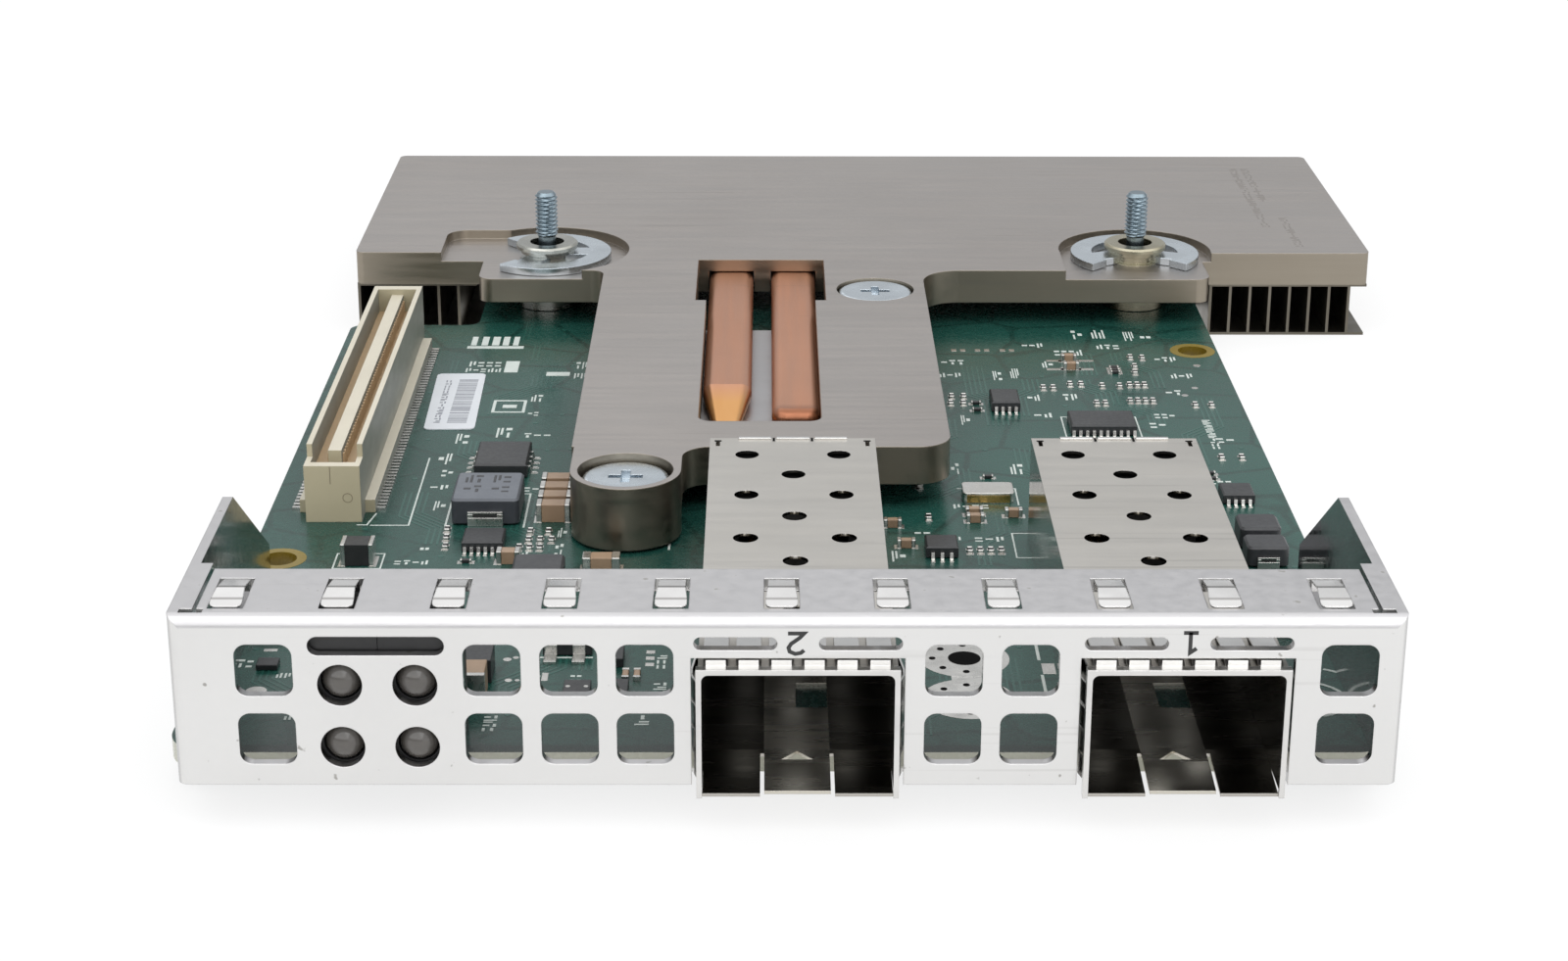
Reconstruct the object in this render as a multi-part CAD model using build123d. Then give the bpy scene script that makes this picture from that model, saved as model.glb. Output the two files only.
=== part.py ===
from build123d import *
import os

# Mezzanine network card for a rack server, lying with its component side up.
# X runs along the faceplate, Y from the faceplate back to the fins, Z up from the board's top face.
# All sizes are in millimetres.

# Circuit board
board_left = -46.0
board_right_past_face = 1.6
board_front = 5.3
board_t = 1.57
board_front_corner_r = 3.5
board_corner_r = 1.5
board_notch_play = 0.5
board_before_fins = 2.0
tooling_hole_d = 3.0
tooling_hole_inset = 2.6
tooling_hole_left_y = 43.0
tooling_hole_before_band = 15.9
screw_hole_play = 0.4

# Folded faceplate
face_w = 88.0
face_h = 13.16
sheet_t = 0.8
bend_r = 0.9
flange_depth = 8.9
flange_slit = 0.3
side_lip_w = 1.7
side_lip_front = 1.5
side_lip_rear = 10.0
ear_top_len = 23.6
ear_len = 37.7
ear_rear_h = 3.5
foot_play = 0.925
foot_front = 26.0
foot_len = 9.5
window_w = 4.1
window_h = 4.0
window_r = 0.9
window_rows = [3.66, 9.02]
window_shares = [-0.4233, -0.2392, -0.1773, -0.1159, 0.1341, 0.196, 0.454]
port_cut_w = 15.25
port_cut_top = 9.98
port_slot_w = 5.95
port_slot_h = 1.0
port_slot_z = 11.1
port_slot_offset = 4.45

# Spring strip under the flange
strip_t = 0.15
finger_count = 11
finger_first_inset = 4.0
finger_last_inset = 4.9
finger_w = 2.3
finger_rear_w = 1.9
finger_waist_w = 2.0
finger_play = 0.12
finger_rear = 7.0
finger_front = 1.6
finger_waist = 4.4
finger_wide = 2.6
finger_corner_r = 0.45
finger_rise = 0.5
finger_tip_rise = 0.15

# Port cages
port_shares = [0.3233, 0.008]
cage_w = 14.25
cage_top = 9.33
cage_t = 0.25
cage_front = -0.7
cage_rear = 47.8
vent_d = 2.0
vent_rows = 8
vent_pitch = 4.77
vent_last_y = 43.7
vent_offset = 3.9
notch_inset = 0.7
notch_w = 0.35
notch_len = 1.4
notch_end = 0.6
floor_drop = 0.6
latch_slit = 0.3
latch_bend = 2.0
latch_drop = 0.4
latch_w = 4.8
latch_hole_w = 2.4
latch_hole_y = 3.6
latch_hole_len = 1.44
floor_hole_w = 2.4
floor_hole_y0 = 12.5
floor_hole_y1 = 17.0
pin_w = 0.9
pin_drop = 1.2
pin_ys = [12.0, 26.0, 40.0]
pin_hole_d = 1.1

# Spring collar round each cage mouth
collar_t = 0.15
collar_lip = 0.3
collar_band = 0.45
collar_rise = 0.42
collar_len = 6.0
collar_top_count = 6
collar_top_pitch = 2.34
collar_side_count = 4
collar_side_pitch = 1.95
collar_gap = 0.55
collar_side_gap = 0.3
collar_mouth_r = 0.5
collar_bow = 1.6
collar_bow_len = 1.0
collar_side_start = 0.9

# Host connector in each cage
host_w = 11.8
host_front = 37.0
host_len = 9.5
host_h = 8.6
host_slot_h = 2.0
host_slot_z = 4.4
host_slot_deep = 6.0
host_slot_margin = 0.6
host_mouth = 0.6
host_contact_back = 0.8
host_contacts = 10
host_contact_pitch = 0.8
host_contact_w = 0.4
host_contact_t = 0.25

# Indicator block
led_share = -0.3321
led_pitch = 5.35
led_rows = [3.0, 7.86]
led_d = 3.0
led_hole_d = 3.2
led_tip = 0.15
led_block_front = 1.0
led_block_rear = 9.5
led_block_top = 11.9
led_block_w = 5.3
led_block_back = 2.0
led_slot_w = 9.7
led_slot_h = 1.45
led_slot_z = 10.9
led_lead_t = 0.5
led_lead_spread = 1.27
led_lead_out = 1.0
led_lead_step = 1.6

# Heat sink plate
sink_left = -46.3
sink_right = 64.25
band_front = 116.5
band_depth = 42.3
sink_gap = 2.4
sink_t = 3.6
tongue_left = -18.9
tongue_right = 15.0
tongue_front = 54.8
tongue_r = 3.0
left_lug_x = -32.4
left_lug_reach = 6.7
right_lug_x = 46.0
right_lug_reach = 6.7
lug_inner_r = 4.0
lug_outer_r = 1.5
band_corner_r = 0.8
boss_x = -13.84
boss_y = 48.9
boss_d = 9.7
boss_drop = 2.1
neck_r = 2.6
pocket_depth = 1.0
left_pocket_r = 8.95
left_pocket_x = -37.0
left_pocket_past_stud = 7.7
left_pocket_corner = 2.2
right_pocket_r = 8.3
right_pocket_half_w = 8.25
right_pocket_corner = 1.2
pipe_window_left = -7.8
pipe_window_right = 3.5
pipe_window_front = 61.6
pipe_window_before_band = 2.7
pipe_window_step_len = 14.8
pipe_window_step = 1.1
pipe_window_r = 1.2

# Heat sink screws and nuts
boss_bore_d = 8.4
boss_head_deep = 0.6
rear_screw_x = 9.8
rear_screw_before_band = 13.6
rear_bore_d = 8.1
rear_head_deep = 0.15
sink_head_d = 7.8
sink_head_r = 0.5
sink_head_h = 1.6
sink_shank_d = 3.0
sink_bore_d = 3.3
nut_across = 5.5
nut_h = 1.8

# Folded fins
fin_pitch = 2.17
fin_t = 0.3
fin_h = 5.85
fin_setback = 0.4
mid_fin_setback = 11.5

# Heat pipes, controller and what joins them
pipe_w = 4.7
pipe_t = 2.2
pipe_edge_r = 1.0
pipe_front = 68.2
pipe_end_r = 1.3
pipe_turn_past_front = 20.5
pipe_turn_r = 9.0
pipe_play = 0.1
pipe_x = [-5.33, 1.3]
pipe_end_inset = [6.3, 7.25]
pipe_nose = 8.0
pipe_nose_w = 2.4
pipe_nose_t = 1.0
pipe_nose_edge_r = 0.45
chip_x = -2.1
chip_y = 80.0
chip_w = 23.0
chip_substrate_t = 0.9
chip_lid_w = 17.0
chip_lid_t = 0.5
pad_t = 0.1
chip_lid_corner = 0.8
pad_inset = 0.5
cold_plate_w = 24.0
cold_plate_len = 40.0
cold_plate_r = 1.0

# Captive screws in their bushings
stud_x = [-25.5, 38.7]
stud_past_band = 1.2
stud_tip = 12.5
stud_thread_start = 7.6
stud_thread_d = 2.5
stud_neck_d = 1.9
stud_point = 0.45
head_d = 5.5
head_h = 1.83
head_play = 0.05
head_r = 0.6
recess_w = 0.8
recess_len = 3.0
recess_deep = 0.8
bushing_d = 5.8
bushing_top = 6.95
bushing_collar_d = 6.7
bushing_collar_h = 0.6
bushing_spacer_d = 7.0
bushing_edge = 0.2
bushing_play = 0.05
bushing_lip = 1.4
bushing_bore_d = 3.7
bushing_lip_d = 2.1
clip_d = 13.9
clip_t = 0.8
clip_inner_d = 4.8
clip_open_d = 9.4
clip_prong_w = 2.6
clip_prong_lap = 0.5
clip_open_slope = 1.05
clip_prongs = [180, 68, -68]
clip_turn = [180, -90]

# Faceplate screws
foot_screw_d = 3.0
foot_screw_head_h = 1.88
foot_screw_end = 1.6

# Board-to-board connector
mezz_left = -42.35
mezz_right = -37.4
mezz_before_band = 14.3
mezz_len = 50.6
mezz_top = 6.5
mezz_step_len = 2.4
mezz_step_top = 5.3
mezz_wall = 0.5
mezz_end_wall = 1.2
mezz_front_wall = 1.0
mezz_rib_w = 1.2
mezz_rib_top = 5.9
mezz_foot = 0.9
mezz_foot_h = 1.2
mezz_contacts = 58
mezz_pitch = 0.8
mezz_contact_w = 0.4
mezz_contact_t = 0.15
mezz_contact_top = 5.4
mezz_tail = 0.8
mezz_tail_t = 0.25

# Sticker
sticker_x = -32.4
sticker_y = 84.3
sticker_w = 4.9
sticker_len = 16.8
sticker_t = 0.1
sticker_r = 0.6
sticker_turn = 1.3

# Places worked out from the sizes above
sink_top = sink_gap + sink_t
sink_rear = band_front + band_depth
fin_bottom = sink_gap - fin_h
half_face = face_w / 2
flange_half = half_face - side_lip_w - flange_slit
port_x = [share * face_w for share in port_shares]
window_columns = [share * face_w for share in window_shares]
led_x = led_share * face_w
led_columns = [led_x - led_pitch / 2, led_x + led_pitch / 2]
left_lug_front = band_front - left_lug_reach
right_lug_front = band_front - right_lug_reach
pipe_window_rear = band_front - pipe_window_before_band
pipe_turn_y = band_front + pipe_turn_past_front
stud_y = band_front + stud_past_band
mezz_rear = band_front - mezz_before_band
mezz_front = mezz_rear - mezz_len
mezz_step_y = mezz_front + mezz_step_len
clip_z = sink_top - pocket_depth + bushing_play
board_right = half_face + board_right_past_face
board_rear = band_front + mid_fin_setback - board_before_fins
board_notch_x = left_lug_x
board_notch_y = left_lug_front - board_notch_play
tooling_holes = [
    (board_left + tooling_hole_inset, tooling_hole_left_y),
    (board_right - tooling_hole_inset, band_front - tooling_hole_before_band),
]
cold_plate_t = sink_gap - chip_substrate_t - chip_lid_t - pad_t
sink_screws = [
    (boss_x, boss_y, boss_bore_d, boss_head_deep),
    (rear_screw_x, band_front - rear_screw_before_band, rear_bore_d, rear_head_deep),
]
foot_w = half_face - port_x[0] - cage_w / 2 - foot_play
foot_screws = [
    (side * (half_face - foot_w / 2), foot_front + foot_len / 2) for side in (-1, 1)
]
aisle = (port_x[0] + port_x[1]) / 2
aisle_half = (port_x[0] - port_x[1] - cage_w) / 2

# Board components: centre x, centre y, width, length, height, and for chips the leads and their pitch
power_choke = (-26.4, 54.2, 6.0, 6.9, 2.5)
small_chokes = [
    (board_right - 4.3, 47.0, 3.6, 3.6, 2.0),
    (board_right - 4.3, 42.6, 3.6, 3.2, 1.9),
    (-20.7, 37.4, 4.3, 4.0, 2.0),
]
side_lead_chips = [(-26.1, 66.0, 4.9, 6.4, 1.3, 4, 1.27)]
end_lead_chips = [
    (30.9, 76.5, 6.3, 4.4, 1.1, 10, 0.65),
    (22.0, 83.2, 2.8, 4.0, 1.1, 4, 0.65),
    (-26.1, 46.2, 3.6, 3.4, 1.0, 6, 0.6),
    (board_right - 4.5, 57.6, 2.9, 3.0, 1.0, 4, 0.65),
    (aisle - 0.148 * aisle_half, 44.6, 2.8, 2.9, 1.1, 3, 0.8),
]
lead_w = 0.3
lead_len = 0.8
lead_h = 0.2
crystal = (18.5, 57.7, 4.6, 2.9, 1.0)
polymer_cap = (-36.5, 42.4, 2.8, 2.2, 2.0)
bulk_cap = (-20.45, 52.3, 3.0, 1.6, 1.7)
bulk_cap_count = 4
bulk_cap_pitch = 2.25
end_cap = 0.3
end_skin = 0.04
choke_corner_r = 0.5
choke_edge = 0.2
choke_tab_t = 0.25
choke_tab_share = 0.26
choke_tab_h_share = 0.55
chip_lift = 0.1
chip_edge = 0.15
crystal_r = 0.4

# Rows of small parts: first x, first y, count, step x, step y
cap_size = (1.6, 0.8, 0.8)
cap_rows = [
    (17.0, 53.4, 2, 0.0, -1.6), (20.5, 53.1, 1, 0.0, 0.0),
    (aisle - 0.59 * aisle_half, 45.8, 1, 0.0, 0.0), (9.6, 50.6, 1, 0.0, 0.0),
    (29.7, 94.6, 2, 0.0, 2.6),
]
large_cap_size = (3.2, 1.6, 1.3)
large_cap_rows = [(-15.6, 40.8, 1, 0.0, 0.0)]
medium_cap_size = (2.0, 1.25, 1.2)
medium_cap_rows = [(-23.65, 42.3, 1, 0.0, 0.0)]
resistor_size = (1.0, 0.5, 0.35)
resistor_rows = [
    (-27.3, 42.2, 1, 0.0, 0.0), (18.9, 62.8, 1, 0.0, 0.0), (19.2, 81.6, 2, 0.0, 2.0),
    (34.1, 93.2, 3, 0.0, 0.75), (board_right - 6.0, 63.8, 2, 0.0, -1.4),
]
upright_size = (0.5, 1.0, 0.35)
upright_rows = [
    (aisle + 0.22 * aisle_half, 44.7, 4, 0.135 * aisle_half, 0.0), (-22.3, 49.1, 2, 1.6, 0.0),
    (-22.3, 47.1, 3, 1.0, 0.0), (-23.0, 45.3, 3, 0.9, 0.0), (-29.65, 49.6, 3, 0.12, -2.0),
    (12.9, 52.6, 1, 0.0, 0.0), (12.6, 62.3, 2, -0.1, -1.7), (16.7, 83.6, 2, 1.25, 0.0),
    (16.9, 85.6, 2, 1.2, 0.0), (26.3, 88.3, 2, 1.0, 0.0), (29.1, 89.4, 2, 1.1, 0.0),
    (32.3, 88.9, 2, 1.75, 0.0), (31.2, 83.6, 2, 0.85, 0.0), (34.6, 84.3, 4, 0.75, 0.0),
    (35.1, 89.2, 3, 0.75, 0.0), (36.2, 98.1, 2, 1.2, -0.2), (36.3, 95.1, 2, -0.2, -1.9),
    (board_right - 4.3, 68.1, 2, 1.9, 0.0), (board_right - 4.7, 83.1, 2, 1.6, 0.0),
]
underside_x = -8.0
underside_y = 72.0
underside_column_count = 5
underside_column_step = 3.0
underside_row_count = 4
underside_row_step = 5.0

# Place of the whole card on the plane that it rests on
rest_z = min(fin_bottom, -board_t - foot_screw_head_h)
overall_front = cage_front - collar_lip
shift = Location((
    -(sink_left + sink_right) / 2,
    -(overall_front + sink_rear) / 2,
    -rest_z,
))


def block(x0, x1, y0, y1, z0, z1):
    """Box between two corners."""
    centre = Pos((x0 + x1) / 2, (y0 + y1) / 2, (z0 + z1) / 2)
    return centre * Box(x1 - x0, y1 - y0, z1 - z0)


def rod(x, y, z0, z1, d):
    """Upright cylinder of diameter d."""
    return Pos(x, y, (z0 + z1) / 2) * Cylinder(d / 2, z1 - z0)


def area(x0, x1, y0, y1):
    """Rectangle between two corners."""
    return Pos((x0 + x1) / 2, (y0 + y1) / 2) * Rectangle(x1 - x0, y1 - y0)


def slab(sketch, z0, z1):
    """Level sketch given a thickness from z0 to z1."""
    return extrude(Plane.XY.offset(z0) * sketch, amount=z1 - z0)


def facing(sketch, y0, y1):
    """Sketch in x and z given a depth from y0 back to y1."""
    return extrude(Plane.XZ.offset(-y0) * sketch, amount=y0 - y1)


def sideways(points, x0, x1):
    """Outline in y and z given a width from x0 to x1."""
    return extrude(Plane.YZ.offset(x0) * make_face(Polyline(*points, close=True)), amount=x1 - x0)


def rounded_at(sketch, points, radius):
    """Sketch with the corners nearest to the points rounded."""
    corners = [sketch.vertices().sort_by_distance((x, y, 0))[0] for x, y in points]
    return fillet(corners, radius)


def group(solids):
    """Separate solids of one node."""
    return Compound(children=list(solids))


def cross_recess(x, y, z0, z1):
    """Cross-shaped driver recess between two heights."""
    arm = block(x - recess_len / 2, x + recess_len / 2, y - recess_w / 2, y + recess_w / 2, z0, z1)
    other = block(x - recess_w / 2, x + recess_w / 2, y - recess_len / 2, y + recess_len / 2, z0, z1)
    return arm + other


def pin_places(x):
    """Places of one cage's press-in pins."""
    return [(x + side * (cage_w - cage_t) / 2, y) for side in (-1, 1) for y in pin_ys]


def circuit_board():
    outline = area(board_left, board_right, board_front, board_rear)
    outline -= area(board_left - 1, board_notch_x, board_notch_y, board_rear + 1)
    outline = rounded_at(outline, [(board_left, board_front), (board_right, board_front)],
                         board_front_corner_r)
    outline = rounded_at(outline, [(board_left, board_notch_y), (board_notch_x, board_notch_y),
                                   (board_notch_x, board_rear), (board_right, board_rear)],
                         board_corner_r)
    holes = [(x, y, tooling_hole_d) for x, y in tooling_holes]
    holes += [(x, y, foot_screw_d + screw_hole_play) for x, y in foot_screws]
    holes += [(x, stud_y, stud_thread_d + screw_hole_play) for x in stud_x]
    holes += [(x, y, sink_shank_d + screw_hole_play) for x, y, bore, deep in sink_screws]
    holes += [(x, y, pin_hole_d) for port in port_x for x, y in pin_places(port)]
    board = slab(outline, -board_t, 0)
    for x, y, d in holes:
        board -= rod(x, y, -board_t - 1, 1, d)
    return board


def face_openings():
    """Everything cut through the front wall, drawn in x and z."""
    windows = [
        Pos(x, z) * RectangleRounded(window_w, window_h, window_r)
        for x in window_columns for z in window_rows
    ]
    lamps = [Pos(x, z) * Circle(led_hole_d / 2) for x in led_columns for z in led_rows]
    ports = [area(x - port_cut_w / 2, x + port_cut_w / 2, -1, port_cut_top) for x in port_x]
    slots = [
        Pos(x + side * port_slot_offset, port_slot_z) * SlotOverall(port_slot_w, port_slot_h)
        for x in port_x for side in (-1, 1)
    ]
    lamp_slot = Pos(led_x, led_slot_z) * SlotOverall(led_slot_w, led_slot_h)
    return Sketch() + windows + lamps + ports + slots + [lamp_slot]


def finger_places():
    first = -half_face + finger_first_inset
    pitch = (half_face - finger_last_inset - first) / (finger_count - 1)
    return [first + pitch * i for i in range(finger_count)]


def faceplate():
    depth = ear_len + 1
    shell = block(-half_face, half_face, 0, depth, 0, face_h)
    bends = shell.edges().group_by(Axis.Y)[0].filter_by(Axis.X).sort_by(Axis.Z)[-1:]
    bends += shell.edges().filter_by(Axis.Z).group_by(Axis.Y)[0]
    shell = fillet(bends, bend_r)
    inner = half_face - sheet_t
    shell -= block(-inner, inner, sheet_t, depth + 1, -1, face_h - sheet_t)
    shell -= block(-flange_half, flange_half, flange_depth, depth + 1, face_h - 2 * sheet_t, face_h + 1)
    for side in (-1, 1):
        slit = side * (flange_half + flange_slit / 2)
        lip = side * (half_face - sheet_t - side_lip_w / 2)
        shell -= block(slit - flange_slit / 2, slit + flange_slit / 2,
                       sheet_t, depth + 1, face_h - 2 * sheet_t, face_h + 1)
        shell -= block(lip - side_lip_w / 2, lip + side_lip_w / 2,
                       side_lip_rear, depth + 1, face_h - 2 * sheet_t, face_h + 1)
        shell -= block(lip - side_lip_w / 2, lip + side_lip_w / 2,
                       sheet_t, side_lip_front, face_h - 2 * sheet_t, face_h + 1)
    above_ear = [(ear_top_len, face_h + 1), (ear_top_len, face_h), (ear_len, ear_rear_h),
                 (ear_len, -1), (depth + 2, -1), (depth + 2, face_h + 1)]
    shell -= sideways(above_ear, -face_w, face_w)
    shell -= facing(face_openings(), -1, sheet_t + 1)
    for x in finger_places():
        half = finger_w / 2 + finger_play
        shell -= block(x - half, x + half, finger_front - finger_play, finger_rear + finger_play,
                       face_h - 2 * sheet_t, face_h + 1)
    for x, y in foot_screws:
        outer = half_face if x > 0 else -half_face + foot_w
        shell += block(outer - foot_w, outer, foot_front, foot_front + foot_len, 0, sheet_t)
        shell -= rod(x, y, -1, sheet_t + 1, foot_screw_d)
    return shell


def finger_outline(x):
    """Tongue seen from above: slim at the rear, wide in front, with rounded front corners."""
    sides = [(finger_rear_w / 2, finger_rear), (finger_waist_w / 2, finger_waist),
             (finger_w / 2, finger_wide), (finger_w / 2, finger_front)]
    right = [(x + half, y) for half, y in sides]
    left = [(x - half, y) for half, y in reversed(sides)]
    return rounded_at(make_face(Polyline(*right, *left, close=True)), [right[-1], left[0]],
                      finger_corner_r)


def spring_strip():
    """Thin strip under the flange whose tapered tongues rise through the flange's slots."""
    under = face_h - sheet_t
    half = flange_half - flange_slit
    strip = block(-half, half, sheet_t, flange_depth - finger_play, under - strip_t, under)
    crest = face_h + finger_rise
    line = [
        (finger_rear, under), (finger_rear - finger_play, face_h), (finger_waist, crest),
        (finger_wide, crest - strip_t), (finger_front, face_h + finger_tip_rise),
    ]
    back = [(y - strip_t, z - strip_t) for y, z in reversed(line[:2])]
    back = [(y, z - strip_t) for y, z in reversed(line[2:])] + back
    for x in finger_places():
        slot = finger_w / 2 + finger_play
        strip -= block(x - slot, x + slot, finger_front - finger_play, finger_rear - strip_t,
                       under - 1, under + 1)
    for x in finger_places():
        tongue = sideways(line + back, x - finger_w, x + finger_w)
        strip += tongue & slab(finger_outline(x), under - 1, crest + 1)
    return strip


def cage(x):
    """Folded cage: roof, two walls and a rear wall, open in front and below."""
    half = cage_w / 2
    shell = block(x - half, x + half, cage_front, cage_rear, 0, cage_top)
    shell -= block(x - half + cage_t, x + half - cage_t, cage_front - 1, cage_rear - cage_t,
                   -1, cage_top - cage_t)
    for row in range(vent_rows):
        y = vent_last_y - vent_pitch * row
        offsets = (-vent_offset, vent_offset) if row % 2 == 0 else (0,)
        for offset in offsets:
            shell -= rod(x + offset, y, cage_top - 1, cage_top + 1, vent_d)
    for side in (-1, 1):
        notch = x + side * (half - notch_inset)
        shell -= block(notch - notch_w / 2, notch + notch_w / 2,
                       cage_rear - notch_end - notch_len, cage_rear - notch_end,
                       cage_top - 1, cage_top + 1)
    for px, py in pin_places(x):
        shell += block(px - cage_t / 2, px + cage_t / 2, py - pin_w / 2, py + pin_w / 2,
                       -board_t - pin_drop, cage_t)
    return shell


def cage_floor(x):
    """Floor sheet with the latch tongue bent down in front of the board."""
    half = cage_w / 2 - cage_t
    flat = block(x - half, x + half, board_front, cage_rear - cage_t, 0, cage_t)
    flat -= block(x, x + floor_hole_w, floor_hole_y0, floor_hole_y1, -1, 1)
    flat -= block(x - host_w / 2, x + host_w / 2, host_front, cage_rear - cage_t, -1, 1)
    ramp = [(board_front, 0), (board_front, cage_t), (cage_front, cage_t - floor_drop),
            (cage_front, -floor_drop)]
    apron = sideways(ramp, x - half, x + half)
    bend = board_front - latch_bend
    tongue = [(board_front, 0), (board_front, cage_t), (bend, cage_t),
              (cage_front, cage_t - latch_drop), (cage_front, -latch_drop), (bend, 0)]
    for side in (-1, 1):
        slit = x + side * (latch_w + latch_slit) / 2
        apron -= block(slit - latch_slit / 2, slit + latch_slit / 2,
                       cage_front - 1, board_front - floor_drop, -1, 1)
    apron -= block(x - latch_w / 2, x + latch_w / 2, cage_front - 1, board_front, -1, 1)
    plate = flat + apron + sideways(tongue, x - latch_w / 2, x + latch_w / 2)
    catch = make_face(Polyline(
        (x - latch_hole_w / 2, latch_hole_y), (x + latch_hole_w / 2, latch_hole_y),
        (x, latch_hole_y + latch_hole_len), close=True))
    return plate - slab(catch, -1, 1)


def spring_collar(x):
    """Band round the cage mouth with spring fingers that lean on the faceplate."""
    half = cage_w / 2 + collar_t
    top = cage_top + collar_t
    front = cage_front - collar_lip
    band = block(x - half, x + half, front, cage_front + collar_band, -floor_drop, top)
    band -= block(x - half + collar_t, x + half - collar_t, cage_front, cage_front + 2,
                  -floor_drop - 1, cage_top)
    mouth = area(x - half + collar_t + cage_t, x + half - collar_t - cage_t,
                 -floor_drop - 1, cage_top - cage_t)
    mouth = rounded_at(mouth, [(x - half, cage_top), (x + half, cage_top)], collar_mouth_r)
    band -= facing(mouth, front - 1, cage_front + 1)
    start = cage_front + collar_band
    crown = start + collar_bow
    line = [(start, 0), (crown, collar_rise), (crown + collar_bow_len, collar_rise), (collar_len, 0)]
    edge = line + [(y, h + collar_t) for y, h in reversed(line)]
    for i in range(collar_top_count):
        centre = x + (i - (collar_top_count - 1) / 2) * collar_top_pitch
        width = collar_top_pitch - collar_gap
        points = [(y, cage_top + h) for y, h in edge]
        band += sideways(points, centre - width / 2, centre + width / 2)
    for i in range(collar_side_count):
        low = cage_top - collar_side_start - (i + 1) * collar_side_pitch
        high = low + collar_side_pitch - collar_side_gap
        for side in (-1, 1):
            wall = x + side * cage_w / 2
            points = [(wall + side * h, y) for y, h in edge]
            band += slab(make_face(Polyline(*points, close=True)), low, high)
    return band


def host_connector(x):
    """Moulded connector at the back of a cage, with its card slot."""
    half = host_w / 2
    body = block(x - half, x + half, host_front, host_front + host_len, 0, host_h)
    body = chamfer(body.edges().filter_by(Axis.X).group_by(Axis.Y)[0], host_mouth)
    slot_half = host_contacts * host_contact_pitch / 2 + host_slot_margin
    body -= block(x - slot_half, x + slot_half, host_front - 1, host_front + host_slot_deep,
                  host_slot_z - host_slot_h / 2, host_slot_z + host_slot_h / 2)
    return body


def host_contact_set(x):
    """Two facing rows of contacts in the card slot."""
    contacts = []
    for i in range(host_contacts):
        cx = x + (i - (host_contacts - 1) / 2) * host_contact_pitch
        for side in (-1, 1):
            wall = host_slot_z + side * host_slot_h / 2
            inner = wall - side * host_contact_t
            contacts.append(block(cx - host_contact_w / 2, cx + host_contact_w / 2,
                                  host_front + host_contact_back, host_front + host_slot_deep,
                                  min(wall, inner), max(wall, inner)))
    return group(contacts)


def led_blocks():
    """Two black lamp holders side by side, each with two lamps."""
    blocks = []
    for x in led_columns:
        holder = block(x - led_block_w / 2, x + led_block_w / 2, led_block_front, led_block_rear,
                       0, led_block_top)
        for z in led_rows:
            holder -= facing(Pos(x, z) * Circle(led_d / 2), led_block_front - 1, led_block_rear - led_block_back)
        blocks.append(holder)
    return group(blocks)


def led_lamps():
    """Domed lamps that fill the holders' bores."""
    lamps = []
    for x in led_columns:
        for z in led_rows:
            stem = facing(Pos(x, z) * Circle(led_d / 2), led_tip + led_d / 2, led_block_rear - led_block_back)
            dome = Pos(x, led_tip + led_d / 2, z) * Sphere(led_d / 2)
            lamps.append(stem + dome)
    return group(lamps)


def led_leads():
    """Bent leads from the holders' backs down into the board."""
    leads = []
    for x in led_columns:
        for row, z in enumerate(led_rows):
            out = led_block_rear + led_lead_out + row * led_lead_step
            line = [(led_block_rear, z), (out + led_lead_t, z), (out + led_lead_t, 0), (out, 0),
                    (out, z - led_lead_t), (led_block_rear, z - led_lead_t)]
            for side in (-1, 1):
                centre = x + side * led_lead_spread
                leads.append(sideways(line, centre - led_lead_t / 2, centre + led_lead_t / 2))
    return group(leads)


def sink_outline():
    """Plate seen from above: the rear band, the two lugs, the tongue and its screw boss."""
    outline = area(sink_left, sink_right, band_front, sink_rear)
    outline += area(tongue_left, tongue_right, tongue_front, band_front + 1)
    outline += area(left_lug_x, tongue_left + 1, left_lug_front, band_front + 1)
    outline += area(tongue_right - 1, right_lug_x, right_lug_front, band_front + 1)
    outline += area(boss_x - boss_d / 2, boss_x + boss_d / 2, boss_y, tongue_front + 1)
    outline = rounded_at(outline, [(boss_x + boss_d / 2, tongue_front)], neck_r)
    outline = rounded_at(outline, [(tongue_right, tongue_front)], tongue_r)
    outline = rounded_at(outline, [(tongue_right, right_lug_front)], lug_inner_r)
    outline = rounded_at(outline, [(left_lug_x, left_lug_front), (tongue_left, left_lug_front),
                                   (right_lug_x, right_lug_front)], lug_outer_r)
    outline = rounded_at(outline, [(sink_left, band_front), (sink_right, band_front),
                                   (sink_left, sink_rear), (sink_right, sink_rear)], band_corner_r)
    return outline + Pos(boss_x, boss_y) * Circle(boss_d / 2)


def stud_pockets():
    """Shallow recesses round the two studs: one runs out to the left, one to the front."""
    left, right = stud_x
    rear = stud_y + left_pocket_past_stud
    run = area(left_pocket_x, left, left_lug_front - 1, rear)
    run = rounded_at(run, [(left_pocket_x, rear)], left_pocket_corner)
    bay = area(right - right_pocket_half_w, right + right_pocket_half_w, right_lug_front - 1, stud_y)
    bay += area(right, right_lug_x + 1, right_lug_front - 1, stud_y - right_pocket_r / 2)
    pockets = run + Pos(left, stud_y) * Circle(left_pocket_r)
    return pockets + bay + Pos(right, stud_y) * Circle(right_pocket_r)


def pipe_route(index):
    """Centre line of a pipe: straight back, then turned along the band."""
    x = pipe_x[index]
    pipe_ends = [sink_left + pipe_end_inset[0], sink_right - pipe_end_inset[1]]
    return FilletPolyline((x, pipe_front - pipe_w, 0), (x, pipe_turn_y, 0),
                          (pipe_ends[index], pipe_turn_y, 0), radius=pipe_turn_r)


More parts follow.
